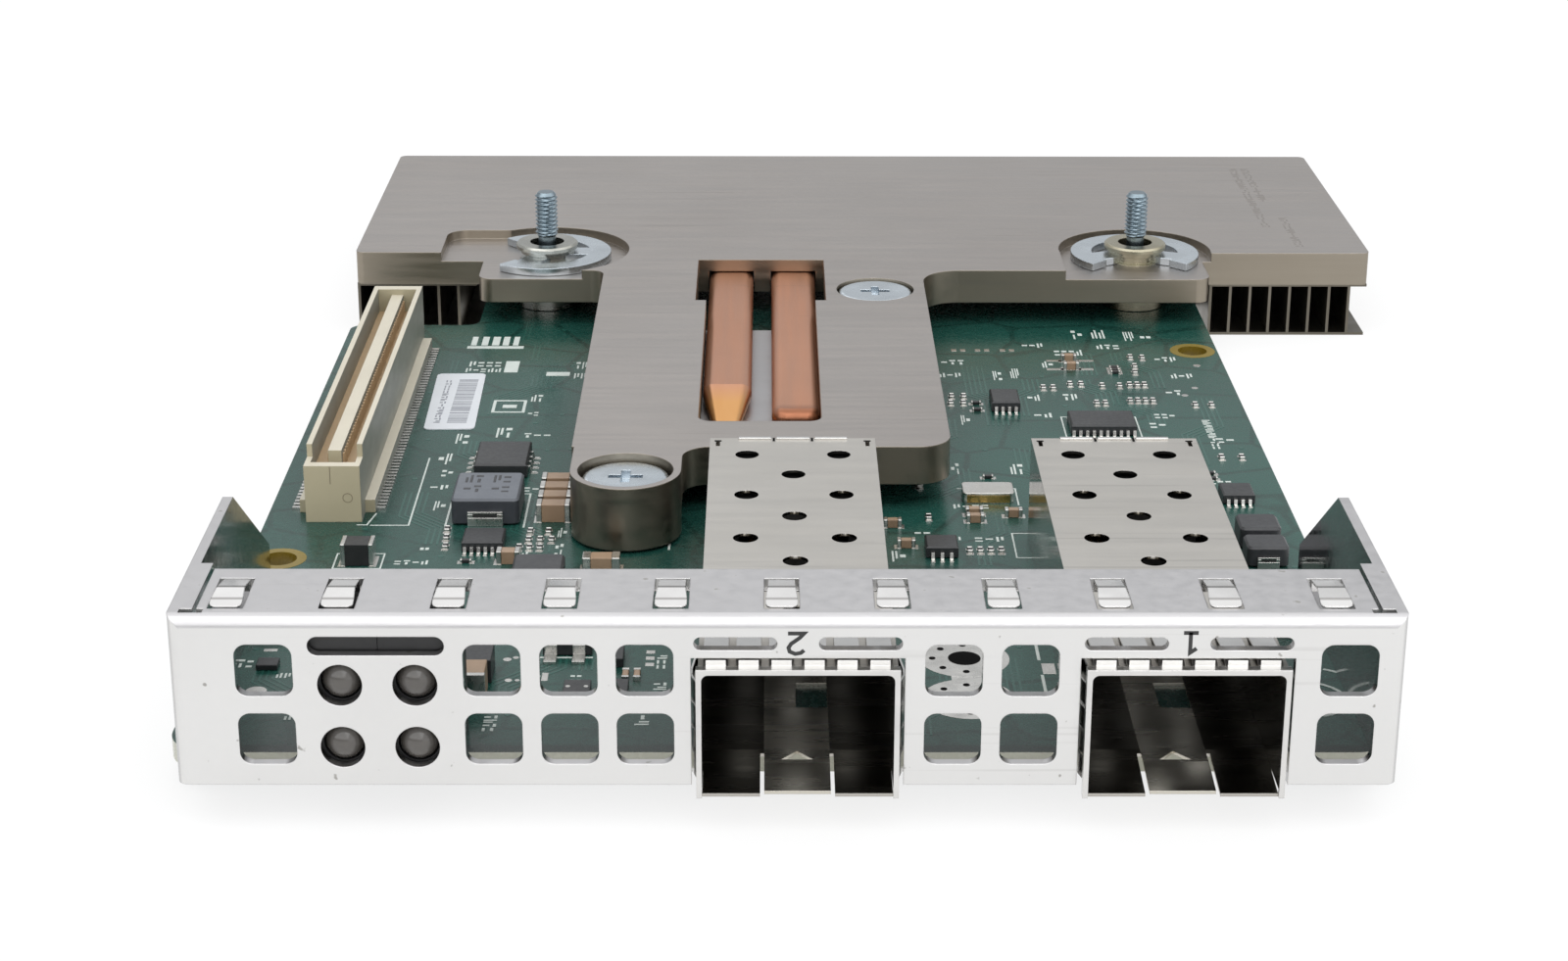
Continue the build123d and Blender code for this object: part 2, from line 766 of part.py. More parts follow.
def pipe_shape(index, play):
    """Pipe seen from above with a clearance round it: blunt in front, round at the far end."""
    x = pipe_x[index]
    half = pipe_w / 2 + play
    end = pipe_front - play
    shape = make_face(offset(pipe_route(index), amount=half, side=Side.BOTH))
    shape -= area(x - pipe_w, x + pipe_w, end - 2 * pipe_w, end)
    return rounded_at(shape, [(x - half, end), (x + half, end)], pipe_end_r)


def heat_sink_plate():
    plate = slab(sink_outline(), sink_gap, sink_top)
    plate += rod(boss_x, boss_y, sink_gap - boss_drop, sink_top, boss_d)
    window = area(pipe_window_left, pipe_window_right, pipe_window_front, pipe_window_rear)
    window += area(pipe_window_left - pipe_window_step, pipe_window_right + pipe_window_step,
                   pipe_window_rear - pipe_window_step_len, pipe_window_rear)
    window = rounded_at(window, [(pipe_window_left, pipe_window_front),
                                 (pipe_window_right, pipe_window_front)], pipe_window_r)
    plate -= slab(window, sink_gap - 1, sink_top + 1)
    for index in (0, 1):
        plate -= slab(pipe_shape(index, pipe_play), sink_gap - 1, sink_gap + pipe_t + pipe_play)
    plate -= slab(stud_pockets(), sink_top - pocket_depth, sink_top + 1)
    for x in stud_x:
        plate -= rod(x, stud_y, sink_gap - 1, sink_top, bushing_d + 2 * bushing_play)
    for x, y, bore, deep in sink_screws:
        plate -= rod(x, y, sink_top - deep - sink_head_h, sink_top + 1, bore)
        plate -= rod(x, y, sink_gap - boss_drop - 1, sink_top, sink_bore_d)
    return plate


def fin(x, front):
    """One folded fin: an upright sheet with a foot and a head that reach the next fin."""
    reach = min(fin_pitch, sink_right - x)
    section = area(x, x + reach, fin_bottom, sink_gap)
    section -= area(x + fin_t, x + reach + 1, fin_bottom + fin_t, sink_gap - fin_t)
    return facing(section, front, sink_rear)


def fin_stack():
    fins = []
    x = sink_left
    while x < sink_right - fin_t:
        beside_board = x + fin_pitch < board_notch_x or x > right_lug_x
        front = band_front + (fin_setback if beside_board else mid_fin_setback)
        fins.append(fin(x, front))
        x += fin_pitch
    return group(fins)


def heat_pipe(index):
    """Flattened pipe lying on the cold plate; the first has a crimped nose."""
    pipe = slab(pipe_shape(index, 0), sink_gap, sink_gap + pipe_t)
    rims = pipe.edges().filter_by(lambda e: abs(e.bounding_box().size.Z) < 0.01)
    pipe = fillet(rims, pipe_edge_r)
    if index == 0:
        x = pipe_x[index]
        nose_end = pipe_front + pipe_nose
        middle = sink_gap + pipe_t / 2
        pipe -= block(x - pipe_w, x + pipe_w, pipe_front - 1, nose_end, 0, sink_top)
        wide = Plane.XZ.offset(-nose_end) * (
            Pos(x, middle) * RectangleRounded(pipe_w, pipe_t, pipe_edge_r))
        tip = Plane.XZ.offset(-pipe_front) * (
            Pos(x, sink_gap + pipe_nose_t / 2 + bushing_play)
            * RectangleRounded(pipe_nose_w, pipe_nose_t, pipe_nose_edge_r))
        pipe += loft([wide, tip])
    return pipe


def cold_plate():
    top = sink_gap
    base = area(chip_x - cold_plate_w / 2, chip_x + cold_plate_w / 2,
                chip_y - cold_plate_len / 2, chip_y + cold_plate_len / 2)
    return slab(fillet(base.vertices(), cold_plate_r), top - cold_plate_t, top)


def square_plate(width, z0, z1):
    half = width / 2
    return block(chip_x - half, chip_x + half, chip_y - half, chip_y + half, z0, z1)


def controller_chip():
    top = chip_substrate_t + chip_lid_t
    lid = square_plate(chip_lid_w, chip_substrate_t, top)
    lid = chamfer(lid.edges().filter_by(Axis.Z), chip_lid_corner)
    return square_plate(chip_w, 0, chip_substrate_t) + lid


def thermal_pad():
    start = chip_substrate_t + chip_lid_t
    return square_plate(chip_lid_w - 2 * pad_inset, start, start + pad_t)


def sink_screw_set():
    screws = []
    for x, y, bore, deep in sink_screws:
        top = sink_top - deep
        head = rod(x, y, top - sink_head_h, top, sink_head_d)
        head = fillet(head.edges().group_by(Axis.Z)[-1], sink_head_r)
        screw = head + rod(x, y, -board_t - nut_h, top - sink_head_h, sink_shank_d)
        screws.append(screw - cross_recess(x, y, top - recess_deep, top + 1))
    return group(screws)


def sink_nuts():
    nuts = []
    for x, y, bore, deep in sink_screws:
        hexagon = Pos(x, y) * RegularPolygon(nut_across / 2, 6, major_radius=False)
        hexagon -= Pos(x, y) * Circle(sink_shank_d / 2)
        nuts.append(slab(hexagon, -board_t - nut_h, -board_t))
    return group(nuts)


def bushing(x):
    """Turned bushing held in its lug by the clip, with a lip that keeps the screw."""
    under = sink_gap - bushing_play
    collar_z = bushing_top - bushing_collar_h
    profile = [
        (bushing_lip_d / 2, bushing_play), (bushing_spacer_d / 2, bushing_play),
        (bushing_spacer_d / 2, under), (bushing_d / 2, under),
        (bushing_d / 2, clip_z), (clip_inner_d / 2, clip_z), (clip_inner_d / 2, clip_z + clip_t),
        (bushing_d / 2, clip_z + clip_t), (bushing_d / 2, collar_z),
        (bushing_collar_d / 2, collar_z), (bushing_collar_d / 2, bushing_top - bushing_edge),
        (bushing_collar_d / 2 - bushing_edge, bushing_top), (bushing_bore_d / 2, bushing_top),
        (bushing_bore_d / 2, bushing_lip), (bushing_lip_d / 2, bushing_lip),
    ]
    section = Plane.XZ * make_face(Polyline(*profile, close=True))
    return Pos(x, stud_y, 0) * revolve(section, Axis.Z)


def clip(x, turn):
    """Three-pronged retaining clip in the bushing's groove."""
    ring = Circle(clip_d / 2) - Circle(clip_open_d / 2)
    reach = clip_open_d / 2 + clip_prong_lap
    for angle in clip_prongs:
        prong = area(clip_inner_d / 2 - clip_prong_lap, reach, -clip_prong_w / 2, clip_prong_w / 2)
        ring += Rot(0, 0, angle) * prong
    ring -= Circle(clip_inner_d / 2)
    mouth = clip_d * clip_open_slope
    ring -= make_face(Polyline((0, 0), (clip_d, mouth), (clip_d, -mouth), close=True))
    return slab(Pos(x, stud_y) * (Rot(0, 0, turn) * ring), clip_z, clip_z + clip_t)


def captive_screw(x):
    """Screw with its head under the board and its thread standing over the bushing."""
    top = -board_t - head_play
    head = rod(x, stud_y, top - head_h, top, head_d)
    head = fillet(head.edges().group_by(Axis.Z)[0], head_r)
    neck = rod(x, stud_y, top - head_play, stud_thread_start + stud_point, stud_neck_d)
    thread = rod(x, stud_y, stud_thread_start, stud_tip, stud_thread_d)
    thread = chamfer(thread.edges().group_by(Axis.Z)[-1], stud_point)
    screw = head + neck + thread
    return screw - cross_recess(x, stud_y, top - head_h - 1, top - head_h + recess_deep)


def foot_screw_set():
    screws = []
    for x, y in foot_screws:
        head = rod(x, y, -board_t - foot_screw_head_h, -board_t, head_d)
        head = fillet(head.edges().group_by(Axis.Z)[0], head_r)
        screw = head + rod(x, y, -board_t, sheet_t + foot_screw_end, foot_screw_d)
        low = -board_t - foot_screw_head_h
        screws.append(screw - cross_recess(x, y, low - 1, low + recess_deep))
    return group(screws)


def mezzanine_connector():
    """Open trough with a contact rib, a low front block and feet along both sides."""
    body = block(mezz_left, mezz_right, mezz_front, mezz_rear, 0, mezz_top)
    body -= block(mezz_left - 1, mezz_right + 1, mezz_front - 1, mezz_step_y,
                  mezz_step_top, mezz_top + 1)
    body -= block(mezz_left + mezz_wall, mezz_right - mezz_wall,
                  mezz_front + mezz_front_wall, mezz_rear - mezz_end_wall, mezz_foot_h, mezz_top + 1)
    middle = (mezz_left + mezz_right) / 2
    body += block(middle - mezz_rib_w / 2, middle + mezz_rib_w / 2,
                  mezz_step_y, mezz_rear - mezz_front_wall, 0, mezz_rib_top)
    body += block(mezz_left - mezz_foot, mezz_right + mezz_foot,
                  mezz_step_y, mezz_rear - mezz_end_wall, 0, mezz_foot_h)
    return body


def mezz_rows():
    """Places of the contacts along the connector."""
    middle = (mezz_step_y + mezz_rear - mezz_front_wall) / 2
    return [middle + (i - (mezz_contacts - 1) / 2) * mezz_pitch for i in range(mezz_contacts)]


def mezzanine_contacts():
    middle = (mezz_left + mezz_right) / 2
    contacts = []
    for y in mezz_rows():
        for side in (-1, 1):
            inner = middle + side * mezz_rib_w / 2
            outer = inner + side * mezz_contact_t
            contacts.append(block(min(inner, outer), max(inner, outer),
                                  y - mezz_contact_w / 2, y + mezz_contact_w / 2,
                                  mezz_foot_h, mezz_contact_top))
    return group(contacts)


def mezzanine_tails():
    tails = []
    for y in mezz_rows():
        for edge, out in ((mezz_left - mezz_foot, -mezz_tail), (mezz_right + mezz_foot, mezz_tail)):
            tails.append(block(min(edge, edge + out), max(edge, edge + out),
                               y - mezz_contact_w / 2, y + mezz_contact_w / 2, 0, mezz_tail_t))
    return group(tails)


def sticker():
    label = Rot(0, 0, sticker_turn) * RectangleRounded(sticker_w, sticker_len, sticker_r)
    return slab(Pos(sticker_x, sticker_y) * label, 0, sticker_t)


def brick(place, lift=0.0):
    """Component body: centre x, centre y, width, length, height."""
    x, y, width, length, height = place[:5]
    return block(x - width / 2, x + width / 2, y - length / 2, y + length / 2, lift, height)


def choke_body(place):
    x, y, width, length, height = place
    body = brick(place, lead_h)
    body = fillet(body.edges().filter_by(Axis.Z), choke_corner_r)
    return chamfer(body.edges().group_by(Axis.Z)[-1], choke_edge)


def choke_terminals(place):
    """Terminals folded up against the front and the rear of a choke."""
    x, y, width, length, height = place
    half = width * choke_tab_share
    ends = []
    for side in (-1, 1):
        wall = y + side * length / 2
        out = wall + side * choke_tab_t
        ends.append(block(x - half, x + half, min(wall, out), max(wall, out),
                          0, height * choke_tab_h_share))
    return ends


def moulded_chip(place):
    body = brick(place, chip_lift)
    return chamfer(body.edges().group_by(Axis.Z)[-1], chip_edge)


def chip_leads():
    """Leads of every moulded chip, along its sides or along its ends."""
    leads = []
    for x, y, width, length, height, count, pitch in side_lead_chips:
        for i in range(count):
            cy = y + (i - (count - 1) / 2) * pitch
            for side in (-1, 1):
                wall = x + side * width / 2
                out = wall + side * lead_len
                leads.append(block(min(wall, out), max(wall, out),
                                   cy - lead_w / 2, cy + lead_w / 2, 0, lead_h))
    for x, y, width, length, height, count, pitch in end_lead_chips:
        for i in range(count):
            cx = x + (i - (count - 1) / 2) * pitch
            for side in (-1, 1):
                wall = y + side * length / 2
                out = wall + side * lead_len
                leads.append(block(cx - lead_w / 2, cx + lead_w / 2,
                                   min(wall, out), max(wall, out), 0, lead_h))
    return group(leads)


def bulk_places():
    x, y, width, length, height = bulk_cap
    return [(x, y + i * bulk_cap_pitch, width, length, height) for i in range(bulk_cap_count)]


def row_places(rows, size):
    """Places of the small parts in all rows of one kind."""
    width, length, height = size
    return [
        (x + i * dx, y + i * dy, width, length, height)
        for x, y, count, dx, dy in rows for i in range(count)
    ]


def two_ended(places):
    """Small parts whose ends carry solder caps a little larger than the body."""
    parts = []
    for x, y, width, length, height in places:
        lying = width > length
        slim = end_skin if lying else end_cap
        short = end_cap if lying else end_skin
        body = brick((x, y, width - 2 * short, length - 2 * slim, height - end_skin))
        for side in (-1, 1):
            if lying:
                edge = x + side * width / 2
                inner = edge - side * end_cap
                body += block(min(edge, inner), max(edge, inner),
                              y - length / 2, y + length / 2, 0, height)
            else:
                edge = y + side * length / 2
                inner = edge - side * end_cap
                body += block(x - width / 2, x + width / 2,
                              min(edge, inner), max(edge, inner), 0, height)
        parts.append(body)
    return group(parts)


def underside_capacitors():
    width, length, height = cap_size
    parts = []
    for i in range(underside_column_count):
        for j in range(underside_row_count):
            place = (underside_x + i * underside_column_step, underside_y + j * underside_row_step,
                     width, length, height)
            parts.append(Pos(0, 0, -board_t - height) * brick(place))
    return group(parts)


def crystal_can():
    body = brick(crystal)
    return fillet(body.edges().filter_by(Axis.Z), crystal_r)


chip_places = side_lead_chips + end_lead_chips
chokes = [power_choke] + small_chokes

nodes = {
    "circuit_board": circuit_board(),
    "faceplate": faceplate(),
    "flange_spring_strip": spring_strip(),
    "led_holders": led_blocks(),
    "led_lamps": led_lamps(),
    "led_leads": led_leads(),
    "heat_sink_plate": heat_sink_plate(),
    "fin_stack": fin_stack(),
    "heat_pipe_left": heat_pipe(0),
    "heat_pipe_right": heat_pipe(1),
    "cold_plate": cold_plate(),
    "thermal_pad": thermal_pad(),
    "controller_chip": controller_chip(),
    "heat_sink_screws": sink_screw_set(),
    "heat_sink_nuts": sink_nuts(),
    "faceplate_screws": foot_screw_set(),
    "mezzanine_connector": mezzanine_connector(),
    "mezzanine_contacts": mezzanine_contacts(),
    "mezzanine_tails": mezzanine_tails(),
    "sticker": sticker(),
    "power_choke": choke_body(power_choke),
    "small_chokes": group([choke_body(p) for p in small_chokes]),
    "choke_terminals": group([t for p in chokes for t in choke_terminals(p)]),
    "moulded_chips": group([moulded_chip(p) for p in chip_places]),
    "chip_leads": chip_leads(),
    "crystal": crystal_can(),
    "polymer_capacitor": two_ended([polymer_cap]),
    "bulk_capacitors": two_ended(bulk_places()),
    "chip_capacitors": two_ended(
        row_places(cap_rows, cap_size) + row_places(medium_cap_rows, medium_cap_size)
        + row_places(large_cap_rows, large_cap_size)),
    "chip_resistors": two_ended(
        row_places(resistor_rows, resistor_size) + row_places(upright_rows, upright_size)),
    "underside_capacitors": underside_capacitors(),
}
for number, x in enumerate(port_x, start=1):
    nodes[f"port_cage_{number}"] = cage(x)
    nodes[f"port_floor_{number}"] = cage_floor(x)
    nodes[f"port_collar_{number}"] = spring_collar(x)
    nodes[f"port_connector_{number}"] = host_connector(x)
    nodes[f"port_contacts_{number}"] = host_contact_set(x)
for side, x, turn in zip(("left", "right"), stud_x, clip_turn):
    nodes[f"bushing_{side}"] = bushing(x)
    nodes[f"retaining_clip_{side}"] = clip(x, turn)
    nodes[f"captive_screw_{side}"] = captive_screw(x)

os.makedirs("parts", exist_ok=True)
for name, shape in nodes.items():
    export_step(shift * shape, f"parts/{name}.step")
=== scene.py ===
import math
import random

import bmesh
import bpy
from mathutils import Matrix, Vector
from mathutils.geometry import tessellate_polygon


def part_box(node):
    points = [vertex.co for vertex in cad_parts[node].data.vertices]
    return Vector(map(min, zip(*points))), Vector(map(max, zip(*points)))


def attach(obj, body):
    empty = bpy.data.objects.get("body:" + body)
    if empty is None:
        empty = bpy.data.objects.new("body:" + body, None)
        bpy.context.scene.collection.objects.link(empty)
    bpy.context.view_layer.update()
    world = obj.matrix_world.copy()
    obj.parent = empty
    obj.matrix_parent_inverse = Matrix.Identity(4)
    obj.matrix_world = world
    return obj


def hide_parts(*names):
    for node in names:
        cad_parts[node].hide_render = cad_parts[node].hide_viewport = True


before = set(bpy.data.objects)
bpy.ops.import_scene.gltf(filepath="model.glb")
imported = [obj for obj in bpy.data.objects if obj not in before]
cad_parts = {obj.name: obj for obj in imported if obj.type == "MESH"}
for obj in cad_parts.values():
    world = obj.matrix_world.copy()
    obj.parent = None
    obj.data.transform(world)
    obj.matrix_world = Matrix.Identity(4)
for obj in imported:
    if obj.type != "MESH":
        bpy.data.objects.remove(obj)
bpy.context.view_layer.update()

# Lengths below are in millimetres from the middle of the faceplate's front and the board's top.
MM = 0.001
plate_low, plate_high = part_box("faceplate")
board_low, board_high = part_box("circuit_board")
ORIGIN = Vector(((plate_low.x + plate_high.x) / 2, plate_low.y, board_high.z))
BOARD_T = (board_high.z - board_low.z) / MM
ROOT = "card"
TOOLING_HOLES = ((-43.4, 43.0), (43.0, 100.6))
TOOLING_HOLE_R = 1.8


def place(x, y, z):
    """Point of the row frame from the millimetres used here."""
    return ORIGIN + Vector((x, y, z)) * MM


def in_mm(name):
    """Lowest and highest corner of a CAD node, in millimetres."""
    return [(corner - ORIGIN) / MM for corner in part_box(name)]


def middle_of(name):
    low, high = in_mm(name)
    return (low + high) / 2


def islands(node):
    """Lowest and highest corner, in millimetres, of each separate solid of a CAD node."""
    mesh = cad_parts[node].data
    spot = {}
    index = []
    for v in mesh.vertices:
        key = tuple(round(c * 1e6) for c in v.co)
        index.append(spot.setdefault(key, len(spot)))
    points = list(spot)
    parent = list(range(len(points)))

    def root(i):
        while parent[i] != i:
            parent[i] = parent[parent[i]]
            i = parent[i]
        return i

    for face in mesh.polygons:
        first = root(index[face.vertices[0]])
        for v in face.vertices[1:]:
            parent[root(index[v])] = first
    boxes = {}
    for i, point in enumerate(points):
        p = [(c * 1e-6 - o) / MM for c, o in zip(point, ORIGIN)]
        low, high = boxes.setdefault(root(i), (list(p), list(p)))
        for axis in range(3):
            low[axis] = min(low[axis], p[axis])
            high[axis] = max(high[axis], p[axis])
    found = [(tuple(low), tuple(high)) for low, high in boxes.values()]
    return sorted(found, key=lambda b: (round(b[0][1], 2), round(b[0][0], 2), b[0][2]))


def new_object(name, data):
    """Object that holds this data, in the scene."""
    made = bpy.data.objects.new(name, data)
    bpy.context.scene.collection.objects.link(made)
    return made


# Camera, from the vanishing points of the photograph
FOCAL_PX = 2963.4
IMAGE_W = 1600
SENSOR_MM = 36.0
PITCH = math.radians(20.69)
YAW = math.radians(0.37)
ROLL = math.radians(0.17)
CAMERA_AT = (-1.55, -188.24, 94.56)
CLIP_M = (0.005, 20)


def make_camera():
    """Camera that sees the card as the photograph does."""
    ahead = Vector((math.sin(YAW) * math.cos(PITCH), math.cos(YAW) * math.cos(PITCH),
                    -math.sin(PITCH)))
    right = Vector((math.cos(YAW), -math.sin(YAW), 0))
    up = right.cross(ahead)
    across = math.cos(ROLL) * right + math.sin(ROLL) * up
    above = math.cos(ROLL) * up - math.sin(ROLL) * right
    data = bpy.data.cameras.new("camera")
    data.sensor_width = SENSOR_MM
    data.lens = FOCAL_PX / IMAGE_W * SENSOR_MM
    data.clip_start, data.clip_end = CLIP_M
    camera = new_object("camera", data)
    turn = Matrix((across, above, -ahead)).transposed().to_4x4()
    camera.matrix_world = Matrix.Translation(place(*CAMERA_AT)) @ turn
    bpy.context.scene.camera = camera


BUMP_DEPTH = 0.02


class Graph:
    """Node tree of one material or of the world, with short calls."""

    def __init__(self, tree):
        self.tree = tree
        self.nodes = tree.nodes
        self.nodes.clear()

    def add(self, kind, inputs=None, **settings):
        node = self.nodes.new("ShaderNode" + kind)
        for name, value in settings.items():
            setattr(node, name, value)
        for name, value in (inputs or {}).items():
            self.put(node.inputs[name], value)
        return node

    def put(self, socket, value):
        """Link a socket or set its value; a colour is given without its alpha."""
        if isinstance(value, bpy.types.NodeSocket):
            self.tree.links.new(value, socket)
        elif socket.type == "RGBA":
            socket.default_value = (*value, 1.0)
        else:
            socket.default_value = value

    def noise(self, coords, scale, detail=3.0, rough=0.55):
        made = self.add("TexNoise", {
            "Vector": coords, "Scale": scale, "Detail": detail, "Roughness": rough})
        return made.outputs["Fac"]

    def ramp(self, value, low, high, to_low=0.0, to_high=1.0):
        made = self.add("MapRange", {
            "Value": value, "From Min": low, "From Max": high, "To Min": to_low, "To Max": to_high})
        return made.outputs["Result"]

    def math(self, operation, a, b=0.5):
        made = self.add("Math", {0: a, 1: b}, operation=operation)
        return made.outputs["Value"]

    def times(self, a, b):
        return self.math("MULTIPLY", a, b)

    def mix(self, factor, a, b):
        made = self.add("Mix", data_type="RGBA")
        for name, value in (("Factor", factor), ("A", a), ("B", b)):
            wanted = "RGBA" if name != "Factor" else "VALUE"
            self.put(next(s for s in made.inputs if s.name == name and s.type == wanted), value)
        return next(s for s in made.outputs if s.type == "RGBA")

    def level(self, coords, axis, low, high):
        """Ramp from 0 to 1 between two millimetre marks along an axis of the object."""
        along = self.add("SeparateXYZ", {0: coords}).outputs["XYZ"[axis]]
        low, high = (ORIGIN[axis] + mark * MM for mark in (low, high))
        return self.ramp(along, low, high)

    def around(self, coords, axis, middle, half, fade):
        """1 near a millimetre mark along an axis, falling to 0 at half a width from it."""
        near = self.level(coords, axis, middle - half, middle - half + fade)
        far = self.level(coords, axis, middle + half, middle + half - fade)
        return self.times(near, far)

    def normal(self, axis):
        """Part of the surface's normal along an axis of the world."""
        facing = self.add("NewGeometry").outputs["Normal"]
        return self.add("SeparateXYZ", {0: facing}).outputs["XYZ"[axis]]

    def distance(self, coords, x, y, z):
        """Metres from a point that is given in millimetres."""
        gap = self.add("VectorMath", {0: coords, 1: tuple(place(x, y, z))}, operation="DISTANCE")
        return gap.outputs["Value"]

    def stretched(self, coords, scale, turn=0.0):
        """Coordinates scaled evenly by a number, or by one number for each axis."""
        if not isinstance(scale, tuple):
            scale = (scale,) * 3
        made = self.add("Mapping", {
            "Vector": coords, "Scale": scale, "Rotation": (0, 0, turn)})
        return made.outputs["Vector"]

    def surface(self, height, relief, round_edges, values):
        """Close the material: a shader with these values, its normal bumped and softened."""
        bump = self.add("Bump", {"Strength": relief, "Distance": BUMP_DEPTH * MM, "Height": height})
        if round_edges:
            soft = self.add("Bevel", {"Radius": round_edges * MM}, samples=4)
            self.put(bump.inputs["Normal"], soft.outputs["Normal"])
        shader = self.add("BsdfPrincipled", {**values, "Normal": bump.outputs["Normal"]})
        self.add("OutputMaterial", {"Surface": shader.outputs["BSDF"]})


def new_material(name):
    """Empty material, its nodes and the coordinates of the object that wears it."""
    material = bpy.data.materials.new(name)
    material.use_nodes = True
    g = Graph(material.node_tree)
    return material, g, g.add("TexCoord").outputs["Object"]


EDGE_FADE = 0.02
CORE_FADE = 0.05
COAT_ROUGH = 0.12


def finish_of(name, colour, tint, metallic=0.0, rough=0.4, spread=0.08, grain=300,
              patch=70.0, relief=0.15, coat=0.0, scratch=None, specks=None, round_edges=0.0,
              painted_tops=None, lying_rough=None, lying_from=(0.4, 0.9), sides=None, inside=None,
              zone=None, crease_shades=(), spot=None, core=None, specular=0.5):
    """Procedural finish: two tones in patches, a grain, scratches, specks and softened edges.

    The two tones of faces that point up are painted light or shade; sides gives the painted shade
    and roughness of faces across the card, inside the painted shade of a box's inner walls, core
    the tone of a strip along the card, zone that of one end, spot that of a round patch, and strips
    across the card take a painted shade.
    """
    material, g, coords = new_material(name)
    grain_noise = g.noise(g.stretched(coords, grain), 1.0, 4.0)
    patches = g.ramp(g.noise(coords, patch, 4.0, 0.6), 0.35, 0.68)
    tone = g.math("ADD", g.times(patches, 0.65), g.times(grain_noise, 0.35))
    base = g.mix(tone, colour, tint)
    height = grain_noise
    roughness = g.ramp(grain_noise, 0.3, 0.7, rough - spread, rough + spread)
    # Upward faces take two tones of painted light or shade; their roughness is their own.
    if painted_tops:
        flat = g.ramp(g.normal(2), *lying_from)
        base = g.mix(flat, base, g.mix(tone, painted_tops[0], painted_tops[1]))
        if lying_rough:
            roughness = g.math("ADD", roughness, g.times(flat, lying_rough - rough))
    # Faces across the card take a painted shade, with a roughness of their own.
    if sides:
        facing = g.ramp(g.math("ABSOLUTE", g.normal(0)), 0.6, 0.9)
        base = g.mix(facing, base, sides[0])
        roughness = g.math("ADD", roughness, g.times(facing, sides[1] - rough))
    # Painted shade on a box's inner walls, deepening from its open front.
    if inside:
        middle, half, top, dark = inside
        under = g.level(coords, 2, top, top - EDGE_FADE)
        deep = g.level(coords, 1, 0.2, 2.0)
        inner_shade = g.times(g.around(coords, 0, middle, half, EDGE_FADE),
                        g.times(under, deep))
        base = g.mix(inner_shade, base, dark)
    if core:
        middle, half, shade = core
        strip = g.around(coords, 0, middle, half + CORE_FADE, CORE_FADE)
        base = g.mix(strip, base, shade)
    if zone:
        axis, low, high, shade = zone
        base = g.mix(g.level(coords, axis, low, high), base, shade)
    # Strips across the card darkened as painted shade.
    for middle, half, shade in crease_shades:
        base = g.mix(g.around(coords, 1, middle, half, half * 0.5), base, shade)
    if spot:
        at, radius, shade = spot
        wide = g.math("ADD", g.distance(coords, *at), g.times(grain_noise, 0.0004))
        base = g.mix(g.ramp(wide, radius * MM, radius * 0.6 * MM), base, shade)
    if scratch:
        strength, mark, directions = scratch
        for turn, scale in directions:
            line = g.noise(g.stretched(coords, scale, turn), 1.0, 2.0, 0.4)
            wide = g.noise(coords, 45.0, 2.0)
            sharp = g.times(g.ramp(line, 0.66, 0.72), g.ramp(wide, 0.5, 0.62))
            base = g.mix(g.times(sharp, strength), base, mark)
            height = g.math("SUBTRACT", height, g.times(sharp, 0.6))
    if specks:
        amount, mark, scale = specks
        dots = g.ramp(g.noise(coords, scale, 2.0, 0.5), 0.72 - amount, 0.76 - amount)
        base = g.mix(dots, base, mark)
        height = g.math("SUBTRACT", height, g.times(dots, 0.8))
    g.surface(height, relief, round_edges, {
        "Base Color": base, "Metallic": metallic, "Roughness": roughness,
        "Specular IOR Level": specular, "Coat Weight": coat, "Coat Roughness": COAT_ROUGH})
    return material


def laminate_finish():
    """Green solder mask over copper areas, with bare glass cloth on the cut edges."""
    material, g, coords = new_material("board_laminate")
    cells = g.add("TexVoronoi", {"Vector": coords, "Scale": 130.0, "Randomness": 0.85},
                  feature="DISTANCE_TO_EDGE")
    gap = g.ramp(cells.outputs["Distance"], 0.02, 0.05)
    weave = g.noise(g.stretched(coords, 1900), 1.0, 2.0)
    drift = g.ramp(g.noise(coords, 32.0, 3.0), 0.35, 0.65)
    mask = g.mix(drift, (0.008, 0.042, 0.033), (0.012, 0.062, 0.049))
    mask = g.mix(gap, (0.006, 0.033, 0.026), mask)
    mask = g.mix(g.ramp(weave, 0.35, 0.65, 0.0, 0.35), mask, (0.018, 0.076, 0.06))
    # Painted shade along the board's front edge, under the faceplate.
    mask = g.mix(g.level(coords, 1, 6.9, 6.2), mask, (0.004, 0.02, 0.015))
    face = g.ramp(g.math("ABSOLUTE", g.normal(2)), 0.5, 0.8)
    base = g.mix(face, (0.43, 0.43, 0.36), mask)
    for x, y in TOOLING_HOLES:
        near = g.distance(coords, x, y, -BOARD_T / 2)
        wall = g.ramp(near, TOOLING_HOLE_R * MM, (TOOLING_HOLE_R - 0.1) * MM)
        base = g.mix(wall, base, (0.14, 0.095, 0.01))
    height = g.math("ADD", g.times(gap, 0.7), g.times(weave, 0.25))
    rough = g.ramp(weave, 0.3, 0.7, 0.2, 0.32)
    g.surface(height, 0.3, 0.0, {
        "Base Color": base, "Roughness": rough, "Specular IOR Level": 0.4})
    return material


# Scratches: turn in radians and stretch of each set of long fine lines
LONG = [(0.5, (25, 1900, 1900)), (-0.7, (30, 2300, 2300)), (1.4, (40, 1700, 1700))]
CAGE_HALF = 6.95
CAGE_INNER_TOP = 9.2
COLLAR_FINGERS = 6
COLLAR_PITCH = 2.34
LATCH_HALF = 2.4


